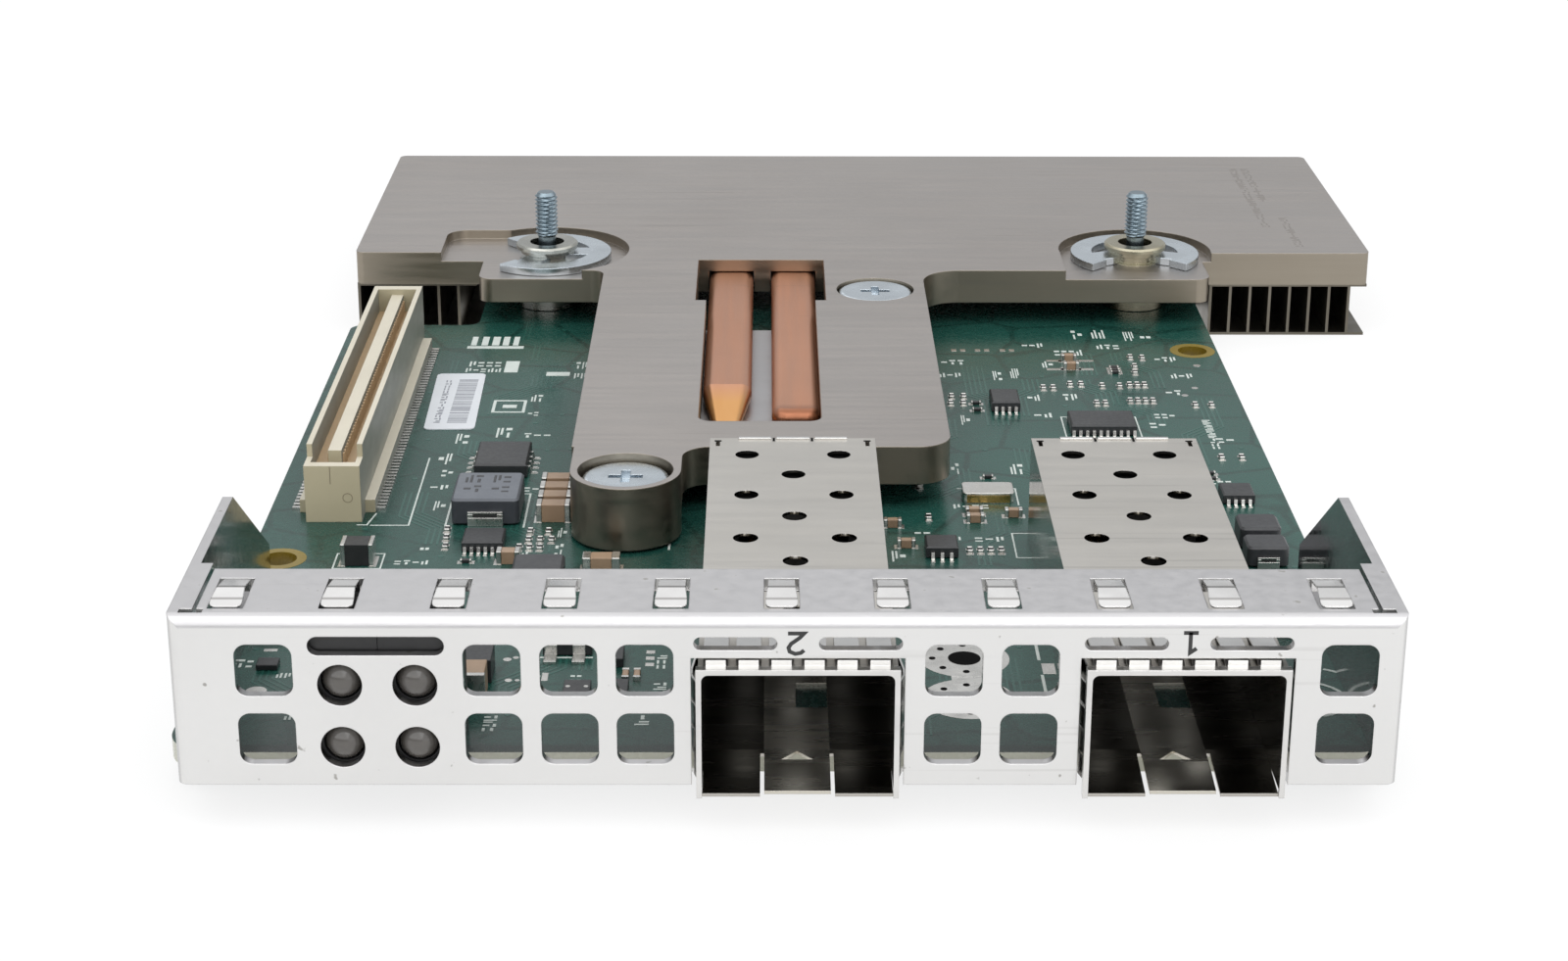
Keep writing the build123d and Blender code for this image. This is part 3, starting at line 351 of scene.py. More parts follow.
def cage_finish(number):
    """Satin roof with a lighter tone of painted light, polished walls and painted shade on the
    inner walls of one port cage.
    """
    middle = middle_of(f"port_cage_{number}").x
    return finish_of(
        f"cage_steel_{number}", (0.56, 0.545, 0.52), (0.47, 0.455, 0.435), 1.0, 0.14, 0.05,
        (60, 700, 700), 80.0, 0.08, scratch=(0.35, (0.3, 0.29, 0.27), LONG[:2]),
        round_edges=0.06, painted_tops=((0.6, 0.575, 0.535), (0.54, 0.515, 0.475)), lying_rough=0.34,
        inside=(middle, CAGE_HALF, CAGE_INNER_TOP, (0.27, 0.25, 0.22)))


def floor_finish(number):
    """Floor sheet of one port: dull, with painted shade on its upward faces and a lighter strip
    along its middle for the latch tongue.
    """
    middle = middle_of(f"port_cage_{number}").x
    return finish_of(
        f"floor_steel_{number}", (0.5, 0.48, 0.44), (0.42, 0.4, 0.37), 1.0, 0.26, 0.06,
        (60, 700, 700), 80.0, 0.1, round_edges=0.06,
        painted_tops=((0.13, 0.12, 0.1), (0.09, 0.085, 0.07)),
        core=(middle, LATCH_HALF, (0.6, 0.57, 0.5)))


# Faceplate: upward faces, the top fold too, take a darker tone of painted shade, and faces across
# the card a painted shade with a lower roughness.
steel = finish_of(
    "faceplate_steel", (0.775, 0.77, 0.76), (0.73, 0.725, 0.715), 1.0, 0.36, 0.07,
    900, 55.0, 0.1, scratch=(0.2, (0.45, 0.44, 0.42), LONG[:2]),
    specks=(0.015, (0.4, 0.39, 0.37), 900.0), round_edges=0.12,
    painted_tops=((0.59, 0.58, 0.585), (0.565, 0.555, 0.56)), lying_from=(0.03, 0.2),
    sides=((0.42, 0.42, 0.42), 0.12))
spring_steel = finish_of(
    "spring_steel", (0.78, 0.77, 0.75), (0.62, 0.61, 0.6), 1.0, 0.2, 0.06,
    400, 150.0, 0.08, round_edges=0.08)
# Flange fingers: the two strips across them are painted shade, in the crease and at the curved
# front end.
finger_steel = finish_of(
    "finger_steel", (0.68, 0.67, 0.66), (0.6, 0.59, 0.58), 1.0, 0.16, 0.05,
    400, 150.0, 0.06, round_edges=0.12,
    crease_shades=((4.45, 0.28, (0.16, 0.155, 0.15)), (2.55, 0.2, (0.36, 0.35, 0.34))))
# A lighter copy of the spring steel: painted highlight on the front lips of the collars' fingers.
lip_highlight_steel = finish_of(
    "lip_highlight_steel", (0.85, 0.84, 0.82), (0.76, 0.75, 0.73), 1.0, 0.4, 0.06,
    400, 150.0, 0.08)
# Heat sink plate: upward faces take a lighter tone of painted light over the darker front faces.
nickel = finish_of(
    "sink_nickel", (0.32, 0.285, 0.235), (0.27, 0.235, 0.185), 1.0, 0.36, 0.07,
    (70, 1300, 1300), 26.0, 0.1, scratch=(0.3, (0.26, 0.23, 0.2), LONG), round_edges=0.15,
    painted_tops=((0.455, 0.423, 0.4), (0.395, 0.362, 0.338)))
nickel_etched = finish_of(
    "nickel_etched", (0.33, 0.305, 0.285), (0.3, 0.275, 0.255), 1.0, 0.45, 0.05,
    (70, 1300, 1300), 26.0, 0.1)
fin_nickel = finish_of(
    "fin_nickel", (0.2, 0.182, 0.15), (0.11, 0.1, 0.08), 1.0, 0.38, 0.08,
    (80, 500, 500), 60.0, 0.1)
DRAWN_COPPER = {
    "colour": (0.62, 0.31, 0.19), "tint": (0.54, 0.26, 0.155), "metallic": 1.0, "spread": 0.07,
    "grain": (900, 50, 900), "patch": 45.0, "relief": 0.12, "round_edges": 0.1,
    "scratch": (0.3, (0.3, 0.15, 0.1), LONG[2:])}
# Right pipe: its front end takes a darker tone, painted shade over the rounded end.
copper = finish_of("copper", rough=0.36, zone=(1, 70.4, 68.6, (0.3, 0.125, 0.07)), **DRAWN_COPPER)
copper_crimped = finish_of(
    "copper_crimped", rough=0.34, **DRAWN_COPPER, zone=(1, 76.4, 72.6, (0.66, 0.34, 0.12)),
    spot=((-4.5, 74.3, 3.0), 0.9, (0.05, 0.015, 0.006)))
plate_metal = finish_of(
    "cold_plate_metal", (0.46, 0.455, 0.46), (0.38, 0.375, 0.38), 1.0, 0.42)
tin = finish_of(
    "tinned_metal", (0.72, 0.71, 0.68), (0.5, 0.49, 0.47), 1.0, 0.28, 0.08,
    900, 500.0, 0.25, round_edges=0.05)
contact_gold = finish_of(
    "contact_gold", (0.7, 0.5, 0.3), (0.6, 0.42, 0.25), 0.4, 0.4, 0.05,
    600, 300.0, 0.1)
gold = finish_of(
    "gold_plate", (0.72, 0.48, 0.18), (0.6, 0.38, 0.12), 1.0, 0.25, 0.05,
    600, 300.0, 0.1)
zinc = finish_of(
    "zinc_steel", (0.68, 0.74, 0.79), (0.54, 0.59, 0.63), 1.0, 0.26, 0.07,
    500, 220.0, 0.15, scratch=(0.3, (0.3, 0.31, 0.3), LONG[:1]), round_edges=0.12)
blue_zinc = finish_of(
    "stud_zinc", (0.27, 0.335, 0.375), (0.2, 0.25, 0.285), 1.0, 0.28, 0.07,
    500, 220.0, 0.15)
TURNED = ((300, 300, 1800), 200.0, 0.15)
bushing_nickel = finish_of(
    "bushing_nickel", (0.5, 0.5, 0.47), (0.35, 0.35, 0.31), 1.0, 0.26, 0.06, *TURNED,
    round_edges=0.12)
bushing_brass = finish_of(
    "bushing_brass", (0.47, 0.44, 0.34), (0.34, 0.31, 0.22), 1.0, 0.28, 0.06, *TURNED,
    round_edges=0.12)
crystal_metal = finish_of(
    "crystal_can", (0.74, 0.73, 0.7), (0.66, 0.63, 0.58), 1.0, 0.25, 0.06,
    (900, 100, 900), 300.0, 0.1, round_edges=0.15)
black_plastic = finish_of(
    "black_plastic", (0.014, 0.014, 0.015), (0.022, 0.022, 0.022), 0.0, 0.42, 0.08,
    1500, 200.0, 0.2)
epoxy = finish_of(
    "black_epoxy", (0.015, 0.016, 0.018), (0.028, 0.029, 0.031), 0.0, 0.38, 0.08,
    2600, 300.0, 0.3, round_edges=0.08)
resistor_finish = finish_of(
    "resistor_black", (0.012, 0.012, 0.013), (0.02, 0.02, 0.021), 0.0, 0.25, 0.05,
    1500, 300.0, 0.15)
# Power choke: its top takes a lighter tone of painted light.
ferrite = finish_of(
    "ferrite_grey", (0.03, 0.033, 0.04), (0.045, 0.049, 0.057), 0.0, 0.42, 0.06,
    1800, 400.0, 0.3, round_edges=0.15,
    painted_tops=((0.1, 0.11, 0.13), (0.122, 0.133, 0.152)))
ferrite_dark = finish_of(
    "ferrite_dark", (0.022, 0.023, 0.026), (0.04, 0.041, 0.045), 0.0, 0.42, 0.06,
    1800, 400.0, 0.3, round_edges=0.12)
ceramic = finish_of(
    "ceramic_tan", (0.33, 0.225, 0.145), (0.25, 0.165, 0.105), 0.0, 0.36, 0.06,
    900, 400.0, 0.15, round_edges=0.05)
# Board connector: its top takes a lighter tone of painted light and its sides a grey painted shade.
ivory = finish_of(
    "ivory_plastic", (0.41, 0.365, 0.25), (0.36, 0.32, 0.215), 0.0, 0.38, 0.05,
    (900, 300, 900), 120.0, 0.12, round_edges=0.1,
    painted_tops=((0.56, 0.52, 0.42), (0.5, 0.46, 0.37)), sides=((0.2, 0.205, 0.175), 0.4))
seam_tan = finish_of(
    "seam_plastic", (0.2, 0.17, 0.11), (0.16, 0.135, 0.09), 0.0, 0.5)
trough_floor = finish_of(
    "trough_plastic", (0.56, 0.4, 0.235), (0.48, 0.34, 0.195), 0.0, 0.4, 0.05,
    (900, 300, 900), 120.0, 0.12)
paper = finish_of(
    "label_paper", (0.61, 0.63, 0.66), (0.56, 0.58, 0.61), 0.0, 0.45, 0.05,
    1500, 200.0, 0.15)
grey_ink = finish_of(
    "print_grey", (0.2, 0.21, 0.24), (0.26, 0.27, 0.3), 0.0, 0.5, 0.05,
    2500, 600.0, 0.1)
pad_rubber = finish_of("pad_rubber", (0.4, 0.41, 0.44), (0.34, 0.35, 0.38), 0.0, 0.7)
chip_finish = finish_of("chip_body", (0.03, 0.05, 0.04), (0.045, 0.06, 0.05), 0.0, 0.4)
smoke = finish_of(
    "lamp_resin", (0.075, 0.068, 0.06), (0.055, 0.05, 0.045), 0.0, 0.12, 0.04,
    600, 200.0, 0.05, coat=0.6)
white_ink = finish_of(
    "print_white", (0.56, 0.6, 0.57), (0.46, 0.51, 0.48), 0.0, 0.5, 0.06,
    2500, 600.0, 0.2)
black_ink = finish_of(
    "print_black", (0.015, 0.015, 0.015), (0.03, 0.03, 0.03), 0.0, 0.45, 0.06,
    2500, 600.0, 0.1)
# Near-black stand-in for the shade in holes, slits and notches.
painted_gap_shade = finish_of(
    "painted_gap_shade", (0.004, 0.004, 0.004), (0.007, 0.007, 0.007), 0.0, 0.9, 0.05,
    specular=0.05)
bare_laminate = finish_of(
    "bare_laminate", (0.19, 0.135, 0.012), (0.15, 0.105, 0.01), 0.0, 0.35, 0.05,
    1200, 200.0, 0.15)
trace_mask = finish_of(
    "trace_mask", (0.016, 0.08, 0.063), (0.012, 0.064, 0.05), 0.0, 0.24, 0.05,
    1900, 200.0, 0.15)
laminate = laminate_finish()

# Each finish with the CAD nodes that have it
FINISHES = (
    (laminate, "circuit_board"), (steel, "faceplate"), (finger_steel, "flange_spring_strip"),
    (spring_steel, "port_collar_1 port_collar_2"), (gold, "port_contacts_1 port_contacts_2"),
    (black_plastic, "led_holders polymer_capacitor port_connector_1 port_connector_2"),
    (smoke, "led_lamps"), (tin, "led_leads mezzanine_tails choke_terminals chip_leads"),
    (nickel, "heat_sink_plate"), (fin_nickel, "fin_stack"), (copper_crimped, "heat_pipe_left"),
    (copper, "heat_pipe_right"), (plate_metal, "cold_plate"), (pad_rubber, "thermal_pad"),
    (chip_finish, "controller_chip"), (ivory, "mezzanine_connector"),
    (contact_gold, "mezzanine_contacts"), (paper, "sticker"), (ferrite, "power_choke"),
    (ferrite_dark, "small_chokes"), (epoxy, "moulded_chips"), (crystal_metal, "crystal"),
    (ceramic, "bulk_capacitors chip_capacitors underside_capacitors"),
    (resistor_finish, "chip_resistors"), (bushing_nickel, "bushing_left"),
    (bushing_brass, "bushing_right"), (zinc, "heat_sink_screws heat_sink_nuts faceplate_screws"),
    (zinc, "retaining_clip_left retaining_clip_right captive_screw_left captive_screw_right"),
)


def dress_nodes():
    """Give each CAD node its finish."""
    chosen = {name: finish for finish, names in FINISHES for name in names.split()}
    for number in (1, 2):
        chosen[f"port_cage_{number}"] = cage_finish(number)
        chosen[f"port_floor_{number}"] = floor_finish(number)
    for name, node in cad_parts.items():
        node.data.materials.clear()
        node.data.materials.append(chosen[name])


# New pieces
PAD_T = 0.02
INK_T = 0.03
FILM_T = 0.015
SHARP = math.radians(35)


class Shape:
    """Points and faces of one new piece, in millimetres."""

    def __init__(self):
        self.points = []
        self.faces = []

    def put(self, points, faces):
        start = len(self.points)
        self.points += points
        self.faces += [tuple(i + start for i in face) for face in faces]

    def prism(self, outline, z0, z1, inset=0.0):
        """Closed outline in x and y given a thickness; inset narrows the top."""
        n = len(outline)
        cx = sum(p[0] for p in outline) / n
        cy = sum(p[1] for p in outline) / n
        top = []
        for x, y in outline:
            far = math.hypot(x - cx, y - cy)
            share = 1 - inset / far if far > inset else 1
            top.append((cx + (x - cx) * share, cy + (y - cy) * share, z1))
        points = [(x, y, z0) for x, y in outline] + top
        faces = [tuple(reversed(range(n))), tuple(range(n, 2 * n))]
        faces += [(i, (i + 1) % n, (i + 1) % n + n, i + n) for i in range(n)]
        self.put(points, faces)

    def bar(self, x0, x1, y0, y1, z0, z1, inset=0.0):
        x0, x1 = sorted((x0, x1))
        y0, y1 = sorted((y0, y1))
        self.prism([(x0, y0), (x1, y0), (x1, y1), (x0, y1)], z0, z1, inset)

    def disc(self, x, y, d, z0, z1, sides=20, inset=0.0):
        self.prism(circle(x, y, d, sides), z0, z1, inset)

    def ring(self, x, y, outer, inner, z0, z1, sides=20):
        points = []
        for d, z in ((outer, z0), (outer, z1), (inner, z1), (inner, z0)):
            points += [(u, v, z) for u, v in circle(x, y, d, sides)]
        faces = []
        for k in range(4):
            for i in range(sides):
                j = (i + 1) % sides
                m = (k + 1) % 4
                faces.append((k * sides + i, k * sides + j, m * sides + j, m * sides + i))
        self.put(points, faces)

    def frame_of(self, x0, x1, y0, y1, width, z0, z1):
        """Hollow rectangle."""
        self.bar(x0, x1, y0, y0 + width, z0, z1)
        self.bar(x0, x1, y1 - width, y1, z0, z1)
        self.bar(x0, x0 + width, y0 + width, y1 - width, z0, z1)
        self.bar(x1 - width, x1, y0 + width, y1 - width, z0, z1)

    def ribbon(self, line, width, z0, z1):
        """Flat strip of even width along a line in x and y."""
        left, right = [], []
        for i, (x, y) in enumerate(line):
            a = line[max(i - 1, 0)]
            b = line[min(i + 1, len(line) - 1)]
            ways = []
            for p, q in ((a, (x, y)), ((x, y), b)):
                size = math.hypot(q[0] - p[0], q[1] - p[1])
                if size > 1e-9:
                    ways.append(((q[0] - p[0]) / size, (q[1] - p[1]) / size))
            nx = sum(-w[1] for w in ways) / len(ways)
            ny = sum(w[0] for w in ways) / len(ways)
            size = nx * nx + ny * ny
            nx, ny = nx / size * width / 2, ny / size * width / 2
            left.append((x + nx, y + ny))
            right.append((x - nx, y - ny))
        for i in range(len(line) - 1):
            self.prism([right[i], right[i + 1], left[i + 1], left[i]], z0, z1)


def circle(x, y, d, sides):
    """Evenly spaced points of a circle of one diameter."""
    ways = [2 * math.pi * i / sides for i in range(sides)]
    return [(x + d / 2 * math.cos(a), y + d / 2 * math.sin(a)) for a in ways]


def make_piece(name, shape, material, body=ROOT, bevel=0.0, smooth=False, turn=None,
               node=None):
    """Mesh object from a shape, which turn maps first; node is the CAD node it stands for."""
    points = [turn(*p) for p in shape.points] if turn else shape.points
    mesh = bpy.data.meshes.new(name)
    mesh.from_pydata([place(*p) for p in points], [], shape.faces)
    mesh.validate()
    solid = bmesh.new()
    solid.from_mesh(mesh)
    bmesh.ops.recalc_face_normals(solid, faces=solid.faces)
    solid.to_mesh(mesh)
    solid.free()
    mesh.materials.append(material)
    if smooth:
        mesh.polygons.foreach_set("use_smooth", [True] * len(mesh.polygons))
        mesh.set_sharp_from_angle(angle=SHARP)
    piece = new_object(name, mesh)
    if bevel:
        edge = piece.modifiers.new("bevel", "BEVEL")
        edge.width = bevel * MM
        edge.segments = 2
        edge.limit_method = "ANGLE"
    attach(piece, body)
    if node:
        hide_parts(node)


PAD_REACH = 0.25
PAD_MARGIN = 0.08
BODY_PLAY = 0.04
# Node of each kind of two-ended part, its finish and slot, and the share that each end takes
TWO_ENDED = (
    ("chip_capacitors", ceramic, "ceramic_tan", 0.22),
    ("chip_resistors", resistor_finish, "resistor_black", 0.2),
    ("bulk_capacitors", ceramic, "ceramic_tan", 0.16),
    ("polymer_capacitor", black_plastic, "black_plastic", 0.14),
)


def crossed(along_x, a0, a1, b0, b1):
    """Box that lies along x, or the same one along y."""
    return (a0, a1, b0, b1) if along_x else (b0, b1, a0, a1)


def small_parts():
    """Rounded bodies and separate solder ends for the small two-ended parts."""
    ends = Shape()
    pads = Shape()
    for node, material, slot, end_share in TWO_ENDED:
        bodies = Shape()
        for low, high in islands(node):
            along_x = high[0] - low[0] >= high[1] - low[1]
            a0, a1, b0, b1 = crossed(along_x, low[0], high[0], low[1], high[1])
            z0, z1 = low[2], high[2]
            end = end_share * (a1 - a0)
            body = crossed(along_x, a0 + end, a1 - end, b0 + BODY_PLAY, b1 - BODY_PLAY)
            bodies.bar(*body, z0, z1 - BODY_PLAY)
            for a, b in ((a0, a0 + end), (a1 - end, a1)):
                ends.bar(*crossed(along_x, a, b, b0, b1), z0, z1)
            for a, b in ((a0 - PAD_REACH, a0 + end), (a1 - end, a1 + PAD_REACH)):
                pads.bar(*crossed(along_x, a, b, b0 - PAD_MARGIN, b1 + PAD_MARGIN), 0, PAD_T)
        make_piece(f"{node}_bodies", bodies, material, bevel=0.05, node=node)
    make_piece("solder_ends", ends, tin, bevel=0.07)
    return pads


LEAD_T = 0.12
LEAD_HEIGHT_SHARE = 0.55
# Shares of a lead's reach: shoulder, knee, undersides of both, and both ends of its pad
SHOULDER, KNEE, UNDER_SHOULDER, UNDER_KNEE = 0.3, 0.45, 0.18, 0.36
FOOT_FROM, FOOT_TO = 0.35, 1.15
LEAD_MARGIN = 0.04


def formed_leads(pads):
    """Bent chip leads on their solder pads, in place of the plain CAD ones."""
    chips = islands("moulded_chips")
    leads = Shape()
    for low, high in islands("chip_leads"):
        middle = ((low[0] + high[0]) / 2, (low[1] + high[1]) / 2)
        chip = min(chips, key=lambda c: abs((c[0][0] + c[1][0]) / 2 - middle[0])
                   + abs((c[0][1] + c[1][1]) / 2 - middle[1]))
        along_x = high[0] - low[0] > high[1] - low[1]
        axis = 0 if along_x else 1
        other = 1 - axis
        outward = 1 if middle[axis] > (chip[0][axis] + chip[1][axis]) / 2 else -1
        wall = low[axis] if outward > 0 else high[axis]
        reach = (high[axis] - low[axis]) * outward
        tall = chip[1][2] * LEAD_HEIGHT_SHARE
        outline = [(wall + reach * s, h) for s, h in (
            (0, tall), (SHOULDER, tall), (KNEE, LEAD_T), (1, LEAD_T), (1, 0), (UNDER_KNEE, 0),
            (UNDER_SHOULDER, tall - LEAD_T), (0, tall - LEAD_T))]
        points = []
        for edge in (low[other], high[other]):
            for a, h in outline:
                points.append((a, edge, h) if along_x else (edge, a, h))
        n = len(outline)
        faces = [tuple(range(n)), tuple(reversed(range(n, 2 * n)))]
        faces += [(i, i + n, (i + 1) % n + n, (i + 1) % n) for i in range(n)]
        leads.put(points, faces)
        foot = (wall + reach * FOOT_FROM, wall + reach * FOOT_TO)
        sides = (low[other] - LEAD_MARGIN, high[other] + LEAD_MARGIN)
        pads.bar(*crossed(along_x, *foot, *sides), 0, PAD_T)
    make_piece("formed_leads", leads, tin, node="chip_leads")


# Captive screws: heights above the board's top and radii
THREAD_PITCH = 0.45
THREAD_DEPTH = 0.24
THREAD_FROM = 7.6
THREAD_R = 1.25
NECK_R = 0.95
STUD_TIP = 12.5
HEAD_R = 2.75
HEAD_TOP = -1.62
HEAD_LOW = -3.45
HEAD_EDGE = 0.6
HEAD_STEPS = (0, 0.4, 0.8, 1.2, math.pi / 2)
RECESS_LEN = 3.0
RECESS_W = 0.8
RECESS_DEEP = 0.8
SIDES = 24
ROWS_PER_TURN = 6


def thread_radius(z, share):
    """Distance of the thread's surface from the axis at a height and a share of a turn."""
    wave = abs(((z - THREAD_FROM) / THREAD_PITCH - share) % 1.0 - 0.5) * 2
    full = THREAD_R - THREAD_DEPTH * min(1.0, wave * 1.25)
    lead_in = NECK_R + (z - THREAD_FROM) * 0.9
    point = THREAD_R - 0.4 + (STUD_TIP - z)
    return max(NECK_R * 0.9, min(full, lead_in, point))


def threaded_screws():
    """Captive screws with a helical thread and a cross recess, in place of the plain CAD ones."""
    for side in ("left", "right"):
        x, y, _ = middle_of(f"captive_screw_{side}")
        shape = Shape()
        shares = [i / SIDES for i in range(SIDES)]
        count = round((STUD_TIP - THREAD_FROM) / THREAD_PITCH * ROWS_PER_TURN)
        rows = [(HEAD_LOW + HEAD_EDGE * (1 - math.cos(a)),
                 [HEAD_R - HEAD_EDGE * (1 - math.sin(a))] * SIDES) for a in HEAD_STEPS]
        rows += [(HEAD_TOP, [HEAD_R] * SIDES), (HEAD_TOP, [NECK_R] * SIDES)]
        for i in range(count + 1):
            z = THREAD_FROM + (STUD_TIP - THREAD_FROM) * i / count
            rows.append((z, [thread_radius(z, share) for share in shares]))
        points = [(x + r * math.cos(share * math.tau), y + r * math.sin(share * math.tau), z)
                  for z, radii in rows for r, share in zip(radii, shares)]
        faces = [(k * SIDES + i, k * SIDES + (i + 1) % SIDES,
                  (k + 1) * SIDES + (i + 1) % SIDES, (k + 1) * SIDES + i)
                 for k in range(len(rows) - 1) for i in range(SIDES)]
        faces.append(tuple(range(len(points) - SIDES, len(points))))
        cross = cross_outline(x, y)
        corner = len(points)
        points += [(u, v, HEAD_LOW) for u, v in cross]
        points += [(u, v, HEAD_LOW + RECESS_DEEP) for u, v in cross]
        n = len(cross)
        faces += [(corner + i, corner + (i + 1) % n, corner + n + (i + 1) % n, corner + n + i)
                  for i in range(n)]
        rim = [Vector(p) for p in points[:SIDES]]
        hole = [Vector(p) for p in points[corner:corner + n]]
        index = list(range(SIDES)) + list(range(corner, corner + n))
        faces += [tuple(index[i] for i in face) for face in tessellate_polygon([rim, hole])]
        faces.append(tuple(range(corner + n, corner + 2 * n)))
        shape.put(points, faces)
        make_piece(f"threaded_screw_{side}", shape, blue_zinc,
                   body=f"screw_{side}", smooth=True, node=f"captive_screw_{side}")


def cross_outline(x, y):
    """Cross recess of a screw head, seen along its axis."""
    a, b = RECESS_LEN / 2, RECESS_W / 2
    corners = ((a, -b), (a, b), (b, b), (b, a), (-b, a), (-b, b),
               (-a, b), (-a, -b), (-b, -b), (-b, -a), (b, -a), (b, -b))
    return [(x + u, y + v) for u, v in corners]


# Printed strokes: x and y from and to, as shares of a mark's width and height
STROKES = (
    ((0.1, 0.8, 0.0, 0.22), (0.1, 0.8, 0.62, 0.86)),
    ((0.1, 0.34, 0.0, 1.0), (0.55, 0.8, 0.3, 1.0)),
    ((0.1, 0.8, 0.4, 0.66),),
    ((0.1, 0.34, 0.0, 0.7), (0.55, 0.8, 0.0, 1.0)),
    ((0.1, 0.8, 0.76, 1.0), (0.3, 0.6, 0.0, 0.5)),
)
STROKE_PITCH = 0.8
PRINT_SEED = 4


def tag(shape, chance, x0, x1, y0, y1, lengthwise=False, z=0.0):
    """Row of strokes that fills the place of a printed mark."""
    length, depth = (y1 - y0, x1 - x0) if lengthwise else (x1 - x0, y1 - y0)
    count = max(2, round(length / STROKE_PITCH))
    step = length / count
    for i in range(count):
        for a0, a1, b0, b1 in chance.choice(STROKES):
            along = ((i + a0) * step, (i + a1) * step)
            over = (b0 * depth, b1 * depth)
            across, up = (over, along) if lengthwise else (along, over)
            shape.bar(x0 + across[0], x0 + across[1], y0 + up[0], y0 + up[1], z, z + INK_T)


def arc(x, y, radius, start, end, steps=10):
    turn = [math.radians(start + (end - start) * i / steps) for i in range(steps + 1)]
    return [(x + radius * math.cos(a), y + radius * math.sin(a)) for a in turn]


# Places of the board's print: x0, x1, y0, y1
MARKS_ACROSS = (
    (-32.4, -28.6, 93.4, 94.6), (-32.2, -28.7, 95.2, 96.8), (-25.0, -23.7, 84.2, 86.2),
    (-25.0, -23.8, 80.0, 81.2), (-27.6, -25.9, 73.7, 76.4), (-24.9, -22.1, 73.7, 74.9),
    (-31.3, -29.9, 72.0, 74.7), (-32.4, -31.0, 66.3, 69.2), (-31.7, -30.5, 63.1, 65.0),
    (-32.4, -30.5, 59.7, 60.8), (-31.5, -30.3, 54.4, 56.7), (-31.6, -30.7, 44.2, 46.2),
    (-33.5, -30.4, 41.7, 42.6), (-21.2, -19.9, 94.5, 96.6), (-21.2, -19.8, 91.4, 93.0),
    (-19.9, -19.0, 48.0, 50.2), (-19.9, -19.1, 43.7, 46.4), (-24.6, -22.2, 59.2, 60.4),
    (-17.5, -14.8, 37.6, 38.8), (-24.2, -22.0, 43.4, 44.6), (30.8, 32.1, 104.6, 107.4),
    (32.9, 34.5, 104.8, 107.6), (36.3, 37.5, 104.0, 107.0), (38.0, 39.3, 103.8, 106.4),
    (28.4, 31.5, 99.0, 100.8), (16.4, 19.0, 96.0, 97.4), (16.0, 18.4, 91.9, 93.2),
    (21.5, 22.5, 91.0, 93.8), (23.3, 24.3, 91.6, 94.6), (26.8, 28.1, 95.0, 97.0),
    (17.4, 18.4, 77.4, 80.2), (21.1, 22.5, 63.8, 66.4), (15.6, 16.5, 63.8, 66.6),
    (15.2, 18.6, 55.0, 56.0), (9.2, 10.6, 42.4, 44.8), (13.4, 15.6, 47.0, 48.1),
    (16.6, 19.4, 47.0, 48.1), (24.6, 26.6, 79.6, 80.9), (36.4, 38.6, 79.4, 80.8),
    (39.2, 41.4, 61.2, 62.4), (41.4, 43.4, 72.4, 73.8), (25.2, 27.6, 101.6, 103.0),
    (33.0, 35.6, 101.2, 102.6), (38.6, 41.0, 97.0, 98.4), (39.6, 42.0, 91.6, 93.0),
    (24.4, 25.8, 84.6, 86.4), (28.0, 29.6, 84.8, 86.6), (38.4, 40.2, 86.4, 87.8),
    (35.6, 37.4, 76.6, 78.2), (13.6, 15.0, 66.2, 67.6), (23.8, 25.8, 57.0, 58.2),
    (11.4, 13.0, 48.4, 49.6), (-43.3, -41.9, 20.4, 21.9), (-39.9, -38.6, 18.4, 19.3),
    (-38.1, -36.6, 10.8, 11.7), (-16.9, -15.9, 17.8, 19.1),
)
MARKS_ALONG = (
    (-10.2, -9.4, 20.1, 22.9), (-10.3, -9.3, 15.4, 17.7), (-22.9, -21.9, 8.8, 11.7),
    (-11.5, -10.4, 9.8, 11.8), (40.9, 41.7, 70.6, 79.0), (-33.7, -33.0, 76.0, 77.2),
)
INK_BLOCKS = ((-32.9, -27.0, 101.1, 101.9), (-28.4, -27.0, 93.3, 96.9), (-24.0, -21.6, 92.2, 93.4))
INK_COMB = (-32.6, -31.5, -30.4, -29.3, -28.2)
INK_FRAMES = ((19.96, 21.84, 43.2, 49.0), (27.2, 34.6, 73.2, 79.8), (-38.6, -34.4, 40.7, 44.2))
# Printed lines and their width
INK_LINES = (
    ([(-29.95, 50.6), (-29.95, 58.6), (-23.0, 58.6), (-23.0, 50.3)], 0.18),
    ([(-36.6, 50.8), (-33.2, 50.8), (-33.2, 68.0)], 0.15),
    ([(15.8, 60.0), (21.2, 60.0), (21.2, 55.8)], 0.14),
    ([(-10.0, 45.1), (-10.0, 49.5)], 0.2),
    ([(-36.4, 53.7), (-36.9, 50.9), (-37.8, 50.9)], 0.15),
    ([(20.05, 15.4), (20.05, 19.0)], 0.25),
    ([(20.05, 21.8), (20.05, 26.0)], 0.25),
    ([(-23.3, 26.8), (-19.6, 26.8)], 0.25),
    ([(-19.5, 22.3), (-15.3, 22.3)], 0.25),
    (arc(39.9, 14.6, 3.2, -75, 70), 0.28),
    (arc(39.9, 14.6, 2.0, -60, 60), 0.28),
    (arc(40.0, 15.0, 5.6, 20, 66), 0.28),
)
